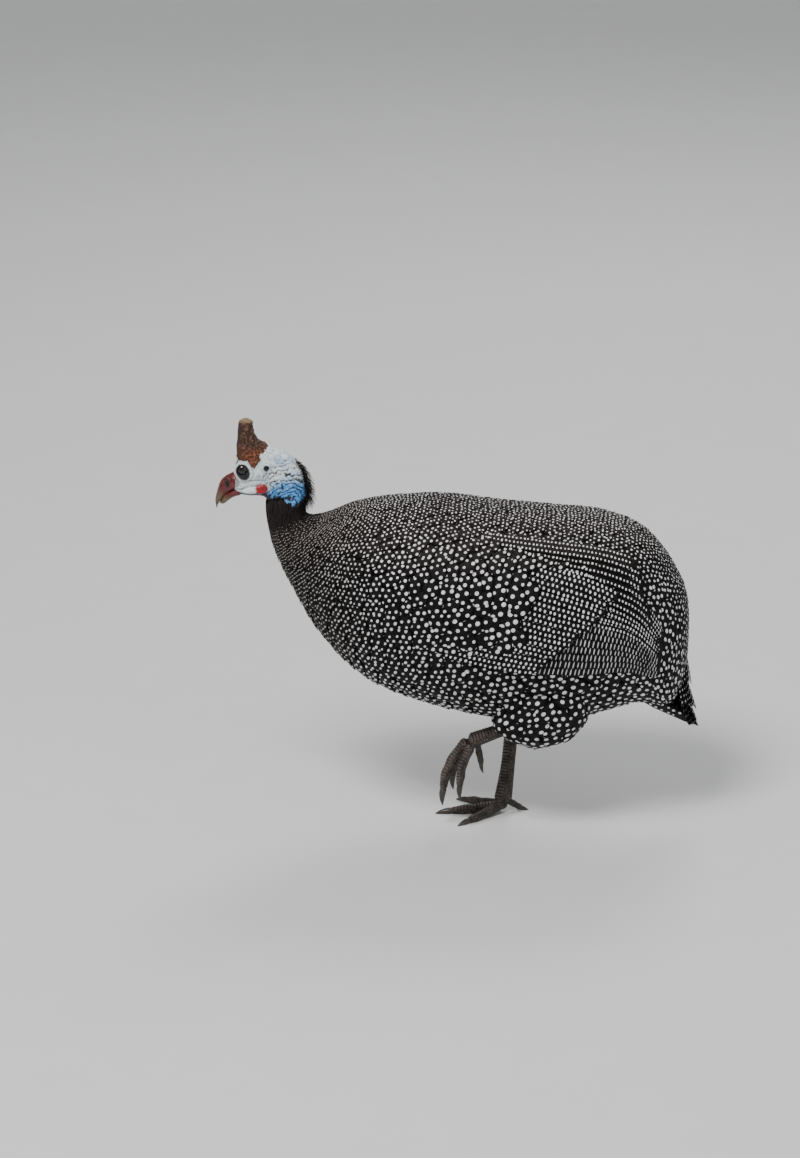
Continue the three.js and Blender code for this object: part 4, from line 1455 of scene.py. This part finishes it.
class GUINEA_OT_bristles(GuineaOperator, bpy.types.Operator):
    """Set the black bristles on the back of the nape"""

    bl_idname = "guinea.bristles"
    bl_label = "Bristles"

    def execute(self, context):
        rng = np.random.default_rng(50)
        count = context.scene.feather_sizes.bristles
        t = 0.97 - 0.36 * rng.random(count) ** 1.4
        angle = rng.normal(0, 13, count) * (1 + 1.3 * ease(0.75, 0.95, t))
        root = HEAD_LOFT.point(t, angle, -0.6)
        out = HEAD_LOFT.normal(t, angle)
        along = unit(HEAD_LOFT.bare(t + 0.01, angle) - HEAD_LOFT.bare(t - 0.01, angle))
        length = rng.uniform(5, 10, count) * (0.3 + 0.7 * ease(0.6, 0.76, t))
        lean = rng.uniform(0.5, 1.5, count) + rng.normal(0, 0.1, count)
        sideways = rng.normal(0, 0.16, (count, 1)) * np.array([[0, 1, 0]])
        steps = np.array([0, 0.35, 0.7, 1.0])
        corner = np.arange(3) / 3 * 2 * math.pi
        section = along[:, None] * np.cos(corner)[None, :, None]
        section = section + np.array([0, 1, 0]) * np.sin(corner)[None, :, None]
        rings = []
        for s in steps:
            reach = (length * s)[:, None]
            centre = root + out * reach + along * reach * lean[:, None] * s + sideways * reach
            rings.append(centre[:, None] + 0.33 * (1 - 0.8 * s) * section)
        points = np.stack(rings, 1).reshape(count, -1, 3)
        grid = np.arange(points.shape[1]).reshape(len(steps), 3)
        faces = copies(quads(np.hstack([grid, grid[:, :1]])), count, points.shape[1])
        patch = np.stack(np.meshgrid(np.linspace(0, 1, 3), np.linspace(0, 1, len(steps))), -1)
        uv = unwrapped(angle, t)[:, None] + patch.reshape(-1, 2) * PATCH
        piece = mesh_from_arrays("nape_bristles", points.reshape(-1, 3), faces, uv.reshape(-1, 2))
        finish_piece(piece, "neck")
        return {"FINISHED"}


class GUINEA_OT_stage(GuineaOperator, bpy.types.Operator):
    """Set the floor, the lights and the camera"""

    bl_idname = "guinea.stage"
    bl_label = "Stage"

    def execute(self, context):
        bm = bmesh.new()
        for vertex in bmesh.ops.create_grid(bm, x_segments=80, y_segments=80, size=9)["verts"]:
            vertex.co.z = 0.3 * max(0.0, vertex.co.xy.length - 3.6) ** 2
        mesh = bpy.data.meshes.new("floor")
        bm.to_mesh(mesh)
        bm.free()
        floor = object_of("floor", mesh)
        mesh.polygons.foreach_set("use_smooth", [True] * len(mesh.polygons))
        mesh.materials.append(Finishes.get("floor"))
        target = Vector((ORIGIN + [-56.5, 0, 243.6]) * MM)
        lights = (
            ("key", (-0.9, -1.6, 2.9), 1.0, 88),
            ("fill", (2.0, -1.9, 1.2), 1.8, 10),
            ("rim", (0.6, 2.0, 2.4), 1.2, 34),
        )
        for name, spot, size, power in lights:
            lamp = bpy.data.lights.new(name, "AREA")
            lamp.size = size
            lamp.energy = power
            light = object_of(name, lamp)
            light.location = spot
            light.rotation_euler = (target - Vector(spot)).to_track_quat("-Z", "Y").to_euler()
        world = bpy.data.worlds.new("studio")
        world.use_nodes = True
        sky = world.node_tree.nodes["Background"].inputs
        sky["Color"].default_value = (0.93, 0.95, 1, 1)
        sky["Strength"].default_value = 0.42
        context.scene.world = world
        lens = bpy.data.cameras.new("camera")
        lens.sensor_fit = "AUTO"
        lens.sensor_width = 36
        lens.lens = 124
        camera = object_of("camera", lens)
        elevation, distance = math.radians(20), 3.8
        away = Vector((0, -math.cos(elevation), math.sin(elevation))) * distance
        camera.location = target + away
        camera.rotation_euler = (-away).to_track_quat("-Z", "Y").to_euler()
        context.scene.camera = camera
        return {"FINISHED"}


OPERATORS = (
    GUINEA_OT_skin,
    GUINEA_OT_head,
    GUINEA_OT_horn,
    GUINEA_OT_eyes,
    GUINEA_OT_legs,
    GUINEA_OT_join_skin,
    GUINEA_OT_body_feathers,
    GUINEA_OT_wing_feathers,
    GUINEA_OT_tail_feathers,
    GUINEA_OT_bristles,
    GUINEA_OT_stage,
)


class GUINEA_PT_panel(bpy.types.Panel):
    """The steps that build the bird, in order"""

    bl_idname = "GUINEA_PT_panel"
    bl_label = "Guinea Fowl"
    bl_space_type = "VIEW_3D"
    bl_region_type = "UI"
    bl_category = "Guinea Fowl"

    def draw(self, context):
        for step in OPERATORS:
            self.layout.operator(step.bl_idname)
        for group in (context.scene.feather_sizes, context.scene.bird_colours):
            for name in group.__annotations__:
                self.layout.prop(group, name)


CLASSES = (FeatherSizes, BirdColours, *OPERATORS, GUINEA_PT_panel)


def register():
    for cls in CLASSES:
        bpy.utils.register_class(cls)
    bpy.types.Scene.feather_sizes = bpy.props.PointerProperty(type=FeatherSizes)
    bpy.types.Scene.bird_colours = bpy.props.PointerProperty(type=BirdColours)


def unregister():
    del bpy.types.Scene.bird_colours
    del bpy.types.Scene.feather_sizes
    for cls in reversed(CLASSES):
        bpy.utils.unregister_class(cls)


def main():
    register()
    for step in OPERATORS:
        group, name = step.bl_idname.split(".")
        getattr(getattr(bpy.ops, group), name)()


if __name__ == "__main__":
    main()
